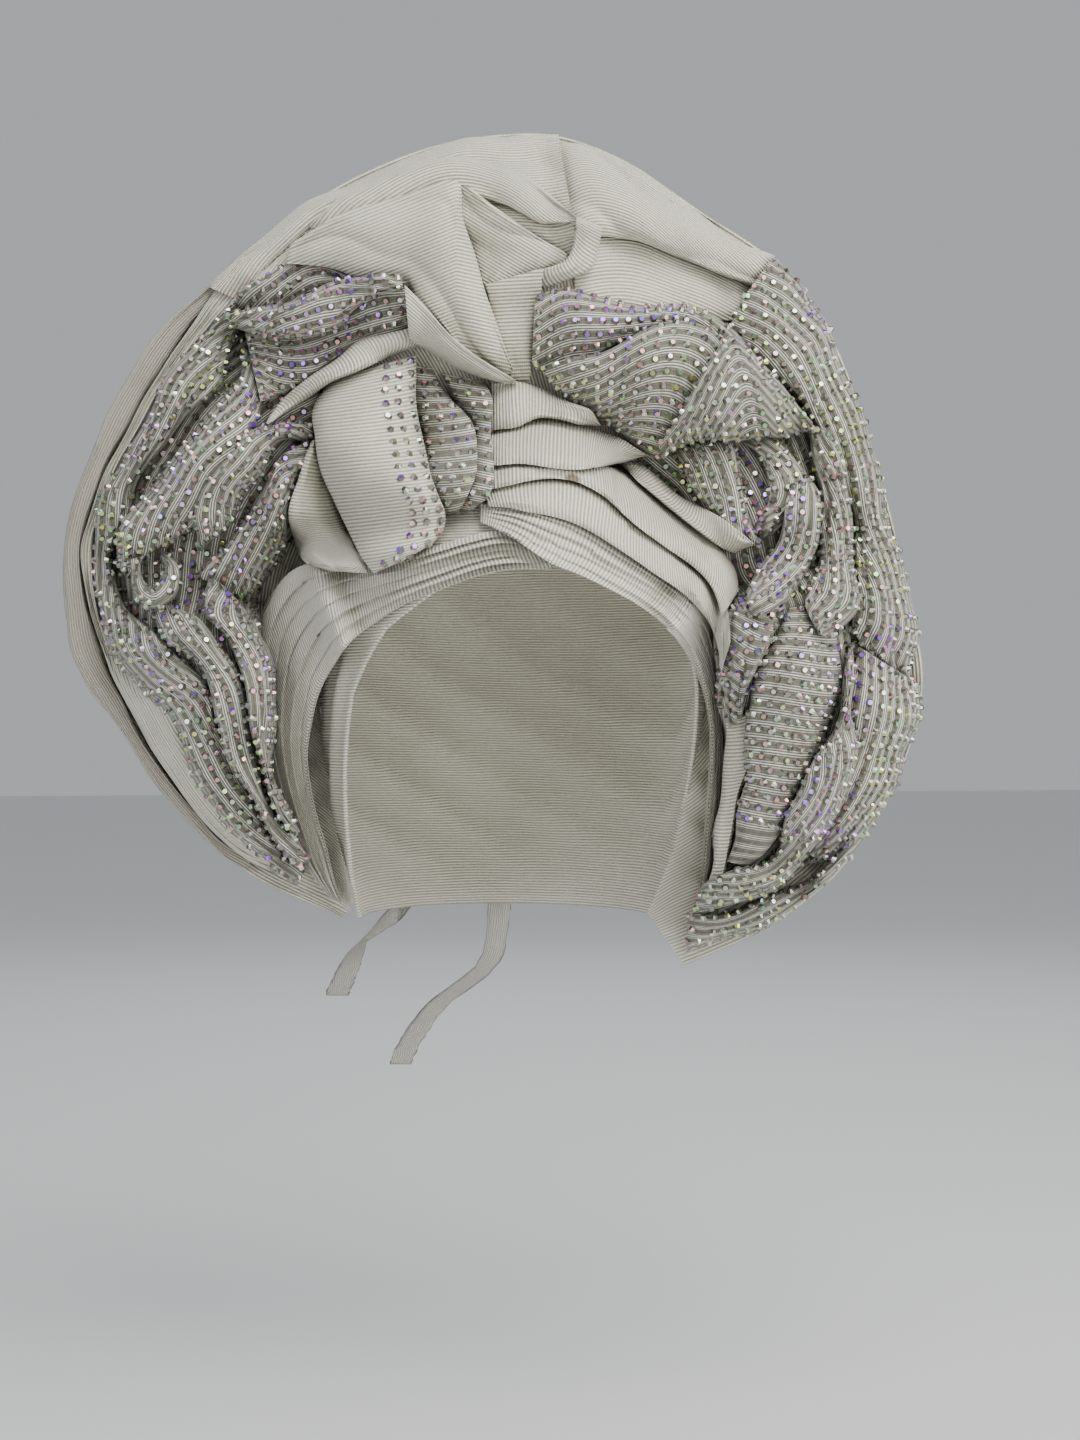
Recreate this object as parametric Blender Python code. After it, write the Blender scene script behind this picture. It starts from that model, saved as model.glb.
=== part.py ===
"""Tied gele head tie, worn form. Metres, +Z up, the face side towards -Y.

The origin is the middle of the head hollow at brow height. The cap is a shell
around the hollow. Every other fold is a sheet lofted from a short table of
sections and laid, back to front, on the sheets under it.
"""
import math
from collections import namedtuple

import bmesh
import bpy
import numpy as np
from mathutils import Vector
from mathutils.bvhtree import BVHTree

# Driving dimensions, in metres
FAN_RADIUS = 0.186          # from the fan's middle to its rim; the tables hold shares of it
FAN_MIDDLE = (-0.006, 0.011, 0.069)
FRONT_TURN = math.radians(10)   # the fan faces this much to one side
HEAD_HALF_WIDTH = 0.078
HEAD_HALF_DEPTH = 0.097
HEAD_WIDEST = 0.023         # height of the widest ring above the brow
CROWN_RISE = 0.095          # widest ring up to the inside of the crown
NAPE_DROP = 0.108           # widest ring down to the lower edge at the nape
NAPE_TAPER = 0.20           # how much narrower the hollow is at the nape
CAP_WALL = 0.0025
CLOTH_WALL = 0.0021
LAY_GAP = 0.0004            # air between two sheets that lie on each other
TIE_WIDTH = 0.010
TIE_WALL = 0.0016

# Lower edge of the cap: turn from the front in degrees, height in metres
CAP_EDGE = [(0, 0.062), (30, 0.054), (50, 0.036), (65, 0.010), (75, -0.022),
            (85, -0.056), (100, -0.085), (180, -0.085)]

# One section across a fold, in shares of FAN_RADIUS from the fan's middle as
# seen from the front: its outer edge, its inner edge, how far the cloth bulges
# between them, and how far in front of the fan's plane each edge is at least
LOW = -9.0
Section = namedtuple("Section", "outer_across outer_up inner_across inner_up bulge outer_floor inner_floor",
                     defaults=(LOW, LOW))
S = Section

FAN_BACK = [
    S(-.350, -.830, 0, 0, -.04, .02), S(-.580, -.720, 0, 0, -.08, .03), S(-.765, -.545, 0, 0, -.12, .04),
    S(-.870, -.385, 0, 0, -.14, .04), S(-.950, -.280, 0, 0, -.15, .04), S(-.995, -.110, 0, 0, -.16, .04),
    S(-.990, .080, 0, 0, -.16, .04), S(-.925, .270, 0, 0, -.16, .04), S(-.840, .440, 0, 0, -.15, .04),
    S(-.700, .600, 0, 0, -.15, .04), S(-.545, .745, 0, 0, -.14, .04), S(-.350, .875, 0, 0, -.13, .04),
    S(-.150, .960, 0, 0, -.12, .04), S(.020, .990, 0, 0, -.12, .04), S(.160, .985, 0, 0, -.12, .04),
    S(.315, .925, 0, 0, -.12, .04), S(.470, .820, 0, 0, -.13, .04), S(.650, .700, 0, 0, -.14, .04),
    S(.755, .580, 0, 0, -.15, .04), S(.840, .395, 0, 0, -.15, .04), S(.910, .165, 0, 0, -.15, .04),
    S(.965, -.070, 0, 0, -.14, .04), S(1.000, -.280, 0, 0, -.14, .04), S(.965, -.450, 0, 0, -.12, .04),
    S(.890, -.600, 0, 0, -.10, .03), S(.790, -.740, 0, 0, -.08, .03), S(.645, -.850, 0, 0, -.06, .03),
    S(.530, -.905, 0, 0, -.04, .02), S(.445, -.940, 0, 0, -.03, .02),
]

# name: cloth, pieces along, pieces across, sections; listed from back to front
FOLDS = {
    "wrap_left": ("ivory", 15, 3, [
        S(.110, .050, .140, -.020, .010), S(.020, .070, .040, -.022, .012), S(-.060, .055, -.030, -.035, .014),
        S(-.130, .035, -.100, -.060, .018), S(-.210, .010, -.200, -.100, .022), S(-.290, .000, -.265, -.140, .025),
        S(-.370, -.010, -.325, -.185, .025, .28, .38), S(-.440, -.040, -.370, -.245, .025, .18, .33),
        S(-.485, -.130, -.405, -.315, .025, .10, .27), S(-.503, -.250, -.425, -.405, .022, .06, .22),
        S(-.505, -.350, -.430, -.465, .020, .05, .19), S(-.490, -.470, -.420, -.540, .018, .04, .16),
        S(-.465, -.570, -.405, -.605, .015, .04, .12), S(-.440, -.650, -.385, -.670, .012, .04, .09),
        S(-.410, -.710, -.370, -.735, .010, .04, .07), S(-.370, -.780, -.350, -.800, .006, .03, .05)]),
    "wrap_right": ("ivory", 15, 3, [
        S(-.030, .130, -.030, .090, .008), S(.060, .130, .045, .052, .012), S(.140, .115, .130, -.005, .014),
        S(.215, .085, .200, -.034, .016), S(.290, .035, .265, -.065, .018), S(.370, -.015, .330, -.100, .020),
        S(.450, -.070, .390, -.145, .022, .38, .40), S(.500, -.130, .445, -.210, .024, .26, .33),
        S(.525, -.220, .480, -.280, .020, .17, .26), S(.535, -.320, .497, -.350, .018, .12, .21),
        S(.540, -.400, .503, -.420, .016, .09, .18), S(.540, -.500, .500, -.505, .014, .07, .15),
        S(.535, -.600, .490, -.635, .012, .06, .12), S(.520, -.700, .483, -.730, .010, .05, .09),
        S(.500, -.800, .470, -.820, .008, .04, .06), S(.465, -.900, .445, -.920, .005, .03, .04)]),
    "underfold_left": ("stoned", 11, 5, [
        S(-.500, -.730, -.400, -.730, .03), S(-.620, -.620, -.440, -.620, .08), S(-.740, -.470, -.470, -.460, .12),
        S(-.820, -.300, -.480, -.280, .15), S(-.880, -.120, -.460, -.100, .17), S(-.880, .060, -.420, .020, .17),
        S(-.830, .240, -.400, .140, .16), S(-.740, .400, -.360, .240, .14), S(-.600, .540, -.280, .300, .12)]),
    "underfold_top": ("ivory", 8, 5, [
        S(-.620, .570, -.280, .310, .08), S(-.440, .730, -.160, .320, .12), S(-.200, .840, -.050, .330, .14),
        S(.020, .880, .060, .320, .14), S(.220, .850, .160, .300, .14), S(.420, .750, .260, .260, .12),
        S(.590, .610, .340, .200, .08)]),
    "underfold_right": ("stoned", 13, 5, [
        S(.600, .600, .300, .240, .10), S(.720, .460, .400, .120, .14), S(.800, .280, .460, .000, .16),
        S(.850, .080, .500, -.120, .17), S(.890, -.120, .520, -.250, .17), S(.910, -.320, .530, -.400, .15),
        S(.860, -.500, .530, -.550, .12), S(.770, -.660, .510, -.680, .09), S(.640, -.780, .490, -.780, .06),
        S(.520, -.860, .465, -.850, .03)]),
    "hem_left_outer": ("ivory", 14, 2, [
        S(-.570, -.722, -.560, -.690, .02), S(-.650, -.670, -.635, -.645, .02), S(-.765, -.540, -.730, -.535, .03),
        S(-.845, -.430, -.805, -.430, .03), S(-.908, -.335, -.860, -.320, .03), S(-.948, -.275, -.895, -.255, .03),
        S(-.978, -.215, -.915, -.200, .035), S(-.993, -.110, -.935, -.120, .035), S(-.998, .000, -.955, .000, .035),
        S(-.988, .080, -.945, .080, .035), S(-.948, .210, -.905, .200, .035), S(-.898, .340, -.845, .310, .03),
        S(-.838, .440, -.795, .405, .03), S(-.765, .548, -.720, .520, .025), S(-.670, .632, -.650, .605, .02)]),
    "hem_left_inner": ("ivory", 15, 2, [
        S(-.490, -.735, -.460, -.725, .02), S(-.570, -.695, -.535, -.665, .02), S(-.640, -.640, -.595, -.615, .025),
        S(-.690, -.585, -.640, -.560, .03), S(-.735, -.530, -.675, -.500, .03), S(-.780, -.460, -.705, -.440, .03),
        S(-.830, -.370, -.745, -.345, .035), S(-.862, -.310, -.795, -.305, .035), S(-.898, -.240, -.855, -.225, .03),
        S(-.935, -.120, -.905, -.120, .03), S(-.955, .000, -.915, .000, .03), S(-.945, .080, -.905, .080, .03),
        S(-.905, .200, -.860, .200, .03), S(-.843, .310, -.795, .320, .03), S(-.795, .405, -.745, .405, .03),
        S(-.720, .520, -.650, .520, .03), S(-.640, .630, -.580, .580, .03), S(-.560, .715, -.500, .640, .03)]),
    "crown_right": ("ivory", 9, 4, [
        S(.140, .970, .170, .680, .04), S(.200, .968, .250, .700, .06), S(.265, .950, .300, .700, .07),
        S(.315, .925, .340, .700, .07), S(.390, .872, .400, .690, .07), S(.470, .812, .470, .670, .06),
        S(.545, .757, .545, .650, .05), S(.625, .722, .610, .630, .04), S(.655, .708, .645, .630, .02)]),
    "crown_lower": ("ivory", 5, 3, [
        S(.190, .720, .190, .580, .03), S(.330, .740, .330, .570, .05), S(.450, .700, .460, .560, .05),
        S(.600, .640, .590, .560, .03)]),
    "crown_back": ("ivory", 10, 4, [
        S(-.660, .635, -.560, .590, .02), S(-.605, .695, -.500, .640, .03), S(-.540, .742, -.440, .690, .04),
        S(-.445, .825, -.360, .720, .05), S(-.345, .870, -.280, .750, .06), S(-.220, .925, -.180, .770, .06),
        S(-.090, .972, -.060, .780, .06), S(.020, .988, .080, .740, .06), S(.152, .990, .200, .700, .03)]),
    "crown_upper_fold": ("ivory", 8, 3, [
        S(-.440, .800, -.410, .750, .02), S(-.300, .870, -.260, .800, .03), S(-.145, .935, -.100, .850, .04),
        S(-.010, .925, .020, .830, .04), S(.100, .880, .120, .780, .04), S(.190, .830, .205, .750, .02)]),
    "crown_inner": ("ivory", 5, 3, [
        S(-.110, .870, -.060, .870, .01), S(-.100, .810, .020, .810, .02), S(-.080, .750, .100, .755, .03),
        S(-.050, .690, .180, .705, .03), S(-.020, .640, .110, .660, .02), S(.000, .590, .050, .610, .01)]),
    "crown_curl": ("ivory", 5, 2, [
        S(.195, .800, .255, .775, .02), S(.185, .735, .245, .720, .03), S(.165, .700, .228, .672, .03),
        S(.130, .682, .160, .645, .02), S(.095, .665, .110, .630, .01)]),
    "crown_tail": ("ivory", 5, 2, [
        S(-.020, .640, .118, .680, .01), S(-.010, .590, .115, .620, .02), S(.000, .530, .097, .550, .03),
        S(.020, .470, .092, .480, .03), S(.045, .415, .085, .410, .01)]),
    "left_ruffle_back": ("stoned", 6, 3, [
        S(-.610, .600, -.570, .550, .02), S(-.540, .650, -.490, .570, .04), S(-.460, .700, -.420, .590, .05),
        S(-.400, .705, -.360, .600, .05), S(-.320, .670, -.290, .600, .03), S(-.230, .660, -.220, .600, .01)]),
    "crown_peak": ("ivory", 10, 5, [
        S(-.470, .735, -.480, .690, .02), S(-.340, .812, -.390, .680, .05), S(-.200, .852, -.310, .650, .07),
        S(-.085, .880, -.240, .645, .09), S(-.070, .790, -.200, .625, .09), S(-.035, .690, -.165, .575, .08),
        S(-.005, .600, -.120, .520, .07), S(.018, .520, -.060, .470, .05), S(.048, .440, .015, .420, .02)]),
    "left_pleat_outer": ("stoned", 17, 3, [
        S(-.455, -.750, -.435, -.720, .02), S(-.545, -.690, -.500, -.655, .04), S(-.595, -.640, -.535, -.610, .05),
        S(-.640, -.580, -.565, -.550, .06), S(-.685, -.520, -.590, -.490, .06), S(-.715, -.460, -.612, -.430, .06),
        S(-.745, -.390, -.632, -.375, .07), S(-.775, -.335, -.655, -.310, .07), S(-.830, -.285, -.690, -.262, .07),
        S(-.872, -.230, -.745, -.215, .06), S(-.903, -.165, -.800, -.155, .06), S(-.925, -.095, -.850, -.100, .05),
        S(-.926, .000, -.888, .000, .03), S(-.920, .080, -.862, .065, .04), S(-.900, .170, -.840, .150, .04),
        S(-.860, .240, -.790, .225, .05), S(-.805, .330, -.712, .330, .06), S(-.755, .420, -.650, .400, .07),
        S(-.695, .500, -.615, .460, .06), S(-.650, .550, -.598, .530, .04), S(-.600, .595, -.585, .560, .02)]),
    "left_ruffle_large": ("stoned", 9, 4, [
        S(-.878, -.010, -.850, -.040, .02), S(-.868, .060, -.790, .025, .05), S(-.815, .140, -.730, .058, .08),
        S(-.760, .210, -.670, .090, .10), S(-.715, .285, -.630, .155, .11), S(-.670, .335, -.595, .210, .10),
        S(-.620, .380, -.565, .270, .08), S(-.585, .430, -.545, .330, .06), S(-.580, .500, -.530, .420, .03)]),
    "left_flap_under": ("stoned", 6, 3, [
        S(-.580, .545, -.540, .370, .02), S(-.500, .540, -.490, .390, .03), S(-.440, .545, -.430, .420, .04),
        S(-.370, .580, -.350, .470, .04), S(-.290, .625, -.250, .515, .03), S(-.200, .650, -.185, .540, .02)]),
    "left_flap": ("stoned", 8, 3, [
        S(-.625, .570, -.600, .540, .02), S(-.555, .587, -.540, .520, .05), S(-.500, .602, -.480, .508, .07),
        S(-.445, .617, -.425, .512, .08), S(-.385, .637, -.365, .545, .07), S(-.335, .652, -.320, .588, .05),
        S(-.270, .658, -.265, .620, .04), S(-.210, .658, -.210, .628, .02)]),
    "left_ridge_a": ("stoned", 7, 2, [
        S(-.415, .320, -.415, .270, .02), S(-.490, .330, -.490, .270, .05), S(-.555, .300, -.520, .240, .06),
        S(-.600, .250, -.545, .190, .07), S(-.655, .190, -.585, .145, .07), S(-.695, .110, -.610, .080, .06),
        S(-.715, .030, -.650, .015, .03)]),
    "left_ridge_b": ("stoned", 7, 3, [
        S(-.430, .280, -.415, .230, .02), S(-.492, .237, -.462, .183, .05), S(-.527, .177, -.475, .118, .08),
        S(-.562, .112, -.482, .045, .10), S(-.612, .057, -.488, -.005, .10), S(-.655, .010, -.530, -.055, .08),
        S(-.695, -.035, -.580, -.085, .04)]),
    "left_pleat_a": ("stoned", 10, 3, [
        S(-.830, -.095, -.780, -.060, .02), S(-.775, -.172, -.710, -.115, .05), S(-.702, -.235, -.640, -.175, .07),
        S(-.655, -.310, -.590, -.250, .07), S(-.638, -.370, -.565, -.330, .07), S(-.620, -.440, -.552, -.415, .07),
        S(-.590, -.510, -.538, -.490, .07), S(-.545, -.595, -.508, -.560, .06), S(-.495, -.665, -.468, -.625, .04),
        S(-.452, -.720, -.430, -.690, .02)]),
    "left_pleat_b": ("stoned", 9, 3, [
        S(-.705, -.045, -.600, -.040, .03), S(-.685, -.120, -.560, -.118, .07), S(-.622, -.182, -.528, -.188, .08),
        S(-.582, -.252, -.512, -.262, .08), S(-.567, -.340, -.506, -.340, .07), S(-.556, -.430, -.506, -.430, .07),
        S(-.537, -.510, -.500, -.510, .06), S(-.502, -.580, -.480, -.570, .04), S(-.462, -.645, -.448, -.630, .02)]),
    "left_swirl": ("stoned", 7, 2, [
        S(-.870, .000, -.830, .000, .02), S(-.855, -.080, -.822, -.060, .04), S(-.795, -.125, -.785, -.078, .05),
        S(-.725, -.075, -.760, -.045, .05), S(-.715, .000, -.757, .000, .04), S(-.745, .055, -.785, .030, .02)]),
    "right_outer": ("stoned", 13, 4, [
        S(.652, .705, .580, .610, .03), S(.712, .640, .555, .535, .05), S(.752, .580, .600, .480, .07),
        S(.792, .525, .655, .420, .08), S(.837, .395, .730, .340, .08), S(.862, .325, .765, .290, .08),
        S(.886, .245, .790, .230, .08), S(.906, .165, .812, .165, .08), S(.926, .085, .826, .085, .08),
        S(.946, .015, .838, .010, .08), S(.966, -.070, .845, -.060, .08), S(.981, -.160, .842, -.130, .08),
        S(.996, -.235, .842, -.200, .06), S(1.000, -.295, .910, -.270, .04), S(.990, -.340, .960, -.310, .02)]),
    "right_lower": ("stoned", 9, 4, [
        S(.992, -.290, .850, -.200, .03), S(.994, -.355, .832, -.300, .06), S(.988, -.400, .828, -.360, .07),
        S(.965, -.450, .832, -.430, .07), S(.945, -.505, .822, -.505, .07), S(.915, -.560, .798, -.570, .06),
        S(.890, -.600, .776, -.620, .05), S(.860, -.645, .752, -.665, .04), S(.830, -.695, .728, -.705, .03)]),
    "right_hem_low": ("stoned", 7, 3, [
        S(.452, -.820, .450, -.900, .02), S(.520, -.820, .500, -.898, .04), S(.600, -.800, .590, -.872, .05),
        S(.690, -.765, .670, -.826, .05), S(.780, -.705, .757, -.762, .05), S(.845, -.630, .832, -.690, .03)]),
    "right_fold_low": ("ivory", 8, 3, [
        S(.590, -.360, .540, -.370, .02), S(.605, -.450, .540, -.460, .05), S(.575, -.540, .530, -.550, .05),
        S(.560, -.630, .515, -.630, .05), S(.545, -.720, .505, -.720, .04), S(.510, -.800, .480, -.800, .02)]),
    "right_pleat_middle": ("stoned", 9, 5, [
        S(.770, -.100, .690, -.110, .03), S(.800, -.200, .660, -.180, .07), S(.810, -.300, .610, -.260, .10),
        S(.785, -.390, .585, -.350, .10), S(.752, -.455, .590, -.430, .10), S(.716, -.530, .592, -.500, .10),
        S(.680, -.600, .575, -.570, .09), S(.645, -.675, .555, -.650, .06), S(.590, -.712, .545, -.700, .03)]),
    "right_pleat_outer": ("stoned", 12, 3, [
        S(.850, -.180, .810, -.210, .02), S(.842, -.280, .805, -.330, .05), S(.838, -.355, .785, -.400, .06),
        S(.843, -.430, .750, -.462, .07), S(.832, -.505, .715, -.532, .08), S(.792, -.600, .680, -.602, .07),
        S(.752, -.672, .654, -.668, .06), S(.692, -.735, .620, -.708, .05), S(.622, -.780, .560, -.720, .05),
        S(.540, -.800, .505, -.745, .04), S(.472, -.820, .470, -.775, .02)]),
    "right_pleat_inner": ("stoned", 5, 3, [
        S(.690, -.080, .525, -.080, .03), S(.660, -.170, .528, -.170, .06), S(.612, -.240, .532, -.240, .05),
        S(.585, -.310, .540, -.315, .04), S(.578, -.370, .548, -.390, .02)]),
    "right_fold_c": ("stoned", 9, 3, [
        S(.785, .300, .730, .320, .02), S(.805, .230, .752, .220, .05), S(.822, .165, .760, .150, .06),
        S(.835, .085, .757, .080, .07), S(.845, .015, .750, .015, .07), S(.850, -.060, .740, -.050, .07),
        S(.845, -.130, .722, -.110, .06), S(.830, -.190, .705, -.160, .03)]),
    "right_arch": ("stoned", 10, 4, [
        S(.095, .580, .090, .450, .03), S(.170, .600, .150, .430, .07), S(.250, .603, .215, .450, .09),
        S(.330, .600, .285, .490, .09), S(.410, .593, .360, .520, .09), S(.480, .580, .440, .530, .08),
        S(.545, .542, .500, .510, .07), S(.605, .480, .550, .470, .05), S(.645, .430, .600, .430, .02)]),
    "right_patch": ("stoned", 8, 4, [
        S(.105, .450, .165, .380, .02), S(.180, .470, .200, .345, .06), S(.250, .490, .250, .312, .09),
        S(.350, .533, .310, .280, .10), S(.440, .552, .370, .240, .10), S(.505, .535, .405, .260, .09),
        S(.540, .495, .450, .350, .06), S(.560, .450, .500, .420, .02)]),
    "right_fold_b": ("stoned", 6, 2, [
        S(.660, .300, .570, .280, .02), S(.700, .245, .622, .228, .05), S(.725, .190, .645, .178, .06),
        S(.718, .130, .640, .130, .06), S(.682, .085, .612, .088, .05), S(.650, .045, .600, .050, .02)]),
    "right_bowl": ("stoned", 8, 3, [
        S(.740, .195, .690, .175, .02), S(.757, .120, .680, .090, .05), S(.757, .050, .655, .030, .07),
        S(.732, -.020, .620, -.010, .08), S(.702, -.080, .585, -.060, .07), S(.670, -.140, .555, -.120, .03)]),
    "right_fold_a": ("stoned", 5, 3, [
        S(.565, .290, .425, .260, .03), S(.577, .185, .448, .190, .07), S(.597, .115, .485, .135, .07),
        S(.617, .060, .530, .083, .06), S(.622, .030, .580, .040, .02)]),
    "right_flap": ("stoned", 8, 4, [
        S(.385, .265, .392, .242, .01), S(.420, .325, .440, .260, .03), S(.458, .395, .500, .272, .06),
        S(.510, .465, .560, .282, .08), S(.560, .520, .615, .287, .09), S(.632, .450, .665, .288, .08),
        S(.688, .388, .705, .292, .05), S(.742, .322, .747, .298, .02)]),
    "front_fold_lowest": ("ivory", 9, 3, [
        S(-.030, .180, -.010, .125, .01), S(.080, .185, .080, .116, .03), S(.170, .190, .150, .100, .03),
        S(.255, .155, .220, .072, .04), S(.320, .100, .290, .022, .04), S(.390, .045, .370, -.025, .04),
        S(.465, .005, .450, -.078, .04), S(.535, -.050, .520, -.135, .03), S(.580, -.110, .540, -.200, .01)]),
    "front_fold_low": ("ivory", 8, 3, [
        S(-.010, .240, -.005, .165, .02), S(.080, .245, .080, .185, .04), S(.170, .245, .170, .188, .05),
        S(.240, .230, .245, .153, .05), S(.315, .200, .315, .098, .05), S(.385, .145, .385, .043, .05),
        S(.460, .085, .460, -.002, .04), S(.535, .030, .530, -.035, .02)]),
    "front_roll": ("ivory", 7, 2, [
        S(.285, .250, .295, .215, .02), S(.360, .212, .350, .172, .04), S(.415, .168, .415, .112, .05),
        S(.460, .135, .485, .062, .05), S(.530, .098, .555, .020, .04), S(.610, .055, .600, .018, .02)]),
    "front_fold_middle": ("ivory", 7, 3, [
        S(-.005, .335, -.005, .220, .03), S(.060, .340, .060, .220, .05), S(.120, .340, .120, .217, .06),
        S(.215, .312, .215, .214, .06), S(.295, .282, .295, .227, .04), S(.368, .248, .360, .236, .02)]),
    "front_fold_top": ("ivory", 6, 2, [
        S(-.005, .417, -.005, .300, .03), S(.050, .414, .050, .310, .05), S(.110, .397, .100, .332, .05),
        S(.165, .372, .150, .328, .04), S(.225, .350, .200, .316, .03), S(.260, .322, .240, .302, .01)]),
    "knot_side": ("ivory", 6, 3, [
        S(-.420, .280, -.370, .280, .02), S(-.452, .190, -.360, .190, .05), S(-.476, .110, -.345, .110, .07),
        S(-.467, .050, -.325, .050, .07), S(-.442, .000, -.300, .000, .05), S(-.380, -.025, -.290, -.030, .02)]),
    "knot_pleat_right": ("stoned", 6, 3, [
        S(-.120, .435, -.020, .415, .03), S(-.090, .370, .000, .370, .06), S(-.080, .300, .004, .300, .07),
        S(-.080, .230, .000, .220, .07), S(-.090, .160, -.015, .150, .05), S(-.110, .125, -.060, .110, .02)]),
    "knot_pleat_middle": ("stoned", 6, 3, [
        S(-.200, .455, -.140, .447, .03), S(-.200, .385, -.098, .382, .06), S(-.190, .300, -.052, .312, .08),
        S(-.175, .220, -.038, .222, .08), S(-.155, .165, -.057, .160, .06), S(-.130, .115, -.080, .105, .02)]),
    "knot_lobe": ("ivory", 9, 6, [
        S(-.370, .425, -.178, .478, .05), S(-.416, .350, -.182, .385, .13), S(-.412, .280, -.166, .295, .17),
        S(-.400, .200, -.146, .215, .18), S(-.375, .140, -.126, .160, .17), S(-.335, .070, -.112, .100, .14),
        S(-.305, .010, -.132, .048, .10), S(-.278, -.030, -.210, -.002, .03)]),
    "knot_roll": ("ivory", 9, 2, [
        S(-.540, .325, -.510, .310, .02), S(-.497, .367, -.470, .350, .04), S(-.457, .402, -.425, .380, .05),
        S(-.412, .440, -.380, .408, .06), S(-.360, .475, -.322, .432, .06), S(-.310, .508, -.258, .468, .06),
        S(-.250, .525, -.205, .488, .05), S(-.180, .542, -.160, .500, .03)]),
    "crown_roll": ("ivory", 8, 3, [
        S(-.205, .640, -.195, .515, .03), S(-.150, .585, -.148, .483, .05), S(-.100, .528, -.092, .447, .05),
        S(-.048, .480, -.032, .428, .04), S(.004, .448, .018, .414, .03), S(.060, .425, .050, .402, .01)]),
}

COLOURS = {"ivory": (0.78, 0.75, 0.68, 1.0), "stoned": (0.60, 0.59, 0.57, 1.0), "tape": (0.70, 0.69, 0.65, 1.0)}
ROUGHNESS = {"ivory": 0.80, "stoned": 0.55, "tape": 0.85}

ACROSS = np.array([math.cos(FRONT_TURN), -math.sin(FRONT_TURN), 0.0])
AWAY = np.array([math.sin(FRONT_TURN), math.cos(FRONT_TURN), 0.0])
MIDDLE = np.array(FAN_MIDDLE)
# the point that the laying lines meet at, level with the brow
MEET = np.array([-0.1518, -0.9330, 0.0])
REACH = float((MIDDLE - MEET) @ AWAY)


def place(across, up, stand):
    """Points at shares across and up, standing this far (metres) in front of the fan's plane."""
    plane = MIDDLE + np.multiply.outer(across * FAN_RADIUS, ACROSS)
    plane[..., 2] += up * FAN_RADIUS
    return MEET + (1.0 - stand / REACH)[..., None] * (plane - MEET)


def shares(points):
    """The inverse of place."""
    offset = points - MEET
    depth = offset @ AWAY
    scale = REACH / depth
    across = (scale * (offset @ ACROSS) - (MIDDLE - MEET) @ ACROSS) / FAN_RADIUS
    up = (scale * offset[..., 2] - MIDDLE[2]) / FAN_RADIUS
    return across, up, REACH - depth


def nearness(stand):
    return 1.0 / (1.0 - stand / REACH)


def stand_of(near):
    return (1.0 - 1.0 / near) * REACH


# The cover map: how near the front-most cloth is, cell by cell
CELL = 0.004
COLUMNS, ROWS = 545, 600
LEFT_EDGE, LOW_EDGE = -1.09, -1.30
cover = np.zeros((ROWS, COLUMNS))


def cells(across, up):
    column = np.clip(((across - LEFT_EDGE) / CELL).astype(int), 1, COLUMNS - 2)
    row = np.clip(((up - LOW_EDGE) / CELL).astype(int), 1, ROWS - 2)
    return row, column


def wide_cover():
    """The cover map grown by one cell each way."""
    grown = cover.copy()
    for row in (-1, 0, 1):
        for column in (-1, 0, 1):
            np.maximum(grown, np.roll(cover, (row, column), (0, 1)), out=grown)
    return grown


def ground_map(grown):
    """The grown map with its surroundings filled in, for edges that hang past what is under them."""
    filled = grown.copy()
    for _ in range(14):
        around = np.zeros_like(filled)
        for row, column in ((-1, 0), (1, 0), (0, -1), (0, 1)):
            np.maximum(around, np.roll(filled, (row, column), (0, 1)), out=around)
        filled = np.where(filled > 0, filled, around)
    return filled


def lattice(count):
    first, second = np.meshgrid(np.arange(count + 1), np.arange(count + 1))
    keep = first + second <= count
    first, second = first[keep] / count, second[keep] / count
    return np.stack([first, second, 1.0 - first - second], axis=1)


LATTICES = {}


def sample(triangles, across, up):
    """Evenly spread samples on every triangle: the triangle of each and its weights."""
    owner, weight = [], []
    for index, corner in enumerate(triangles):
        a, u = across[corner], up[corner]
        side = max(math.hypot(a[0] - a[1], u[0] - u[1]), math.hypot(a[1] - a[2], u[1] - u[2]),
                   math.hypot(a[2] - a[0], u[2] - u[0]))
        count = max(2, int(side / (CELL * 0.5)) + 1)
        if count not in LATTICES:
            LATTICES[count] = lattice(count)
        owner.append(np.full(len(LATTICES[count]), index))
        weight.append(LATTICES[count])
    return np.concatenate(owner), np.concatenate(weight)


def lay_down(near, corners, weights, need):
    """Raise the sheet's vertices by as little as keeps every sample in front of what is under it."""
    spread = weights / (weights ** 2).sum(axis=1, keepdims=True)
    for _ in range(80):
        short = need - (near[corners] * weights).sum(axis=1)
        hit = short > 1e-8
        if not hit.any():
            return near
        lift = np.zeros_like(near)
        np.maximum.at(lift, corners[hit].ravel(), (short[hit, None] * spread[hit]).ravel())
        near = near + lift
    short = np.maximum(need - (near[corners] * weights).sum(axis=1), 0.0)
    lift = np.zeros_like(near)
    np.maximum.at(lift, corners.ravel(), np.repeat(short, 3))
    return near + lift


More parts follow.
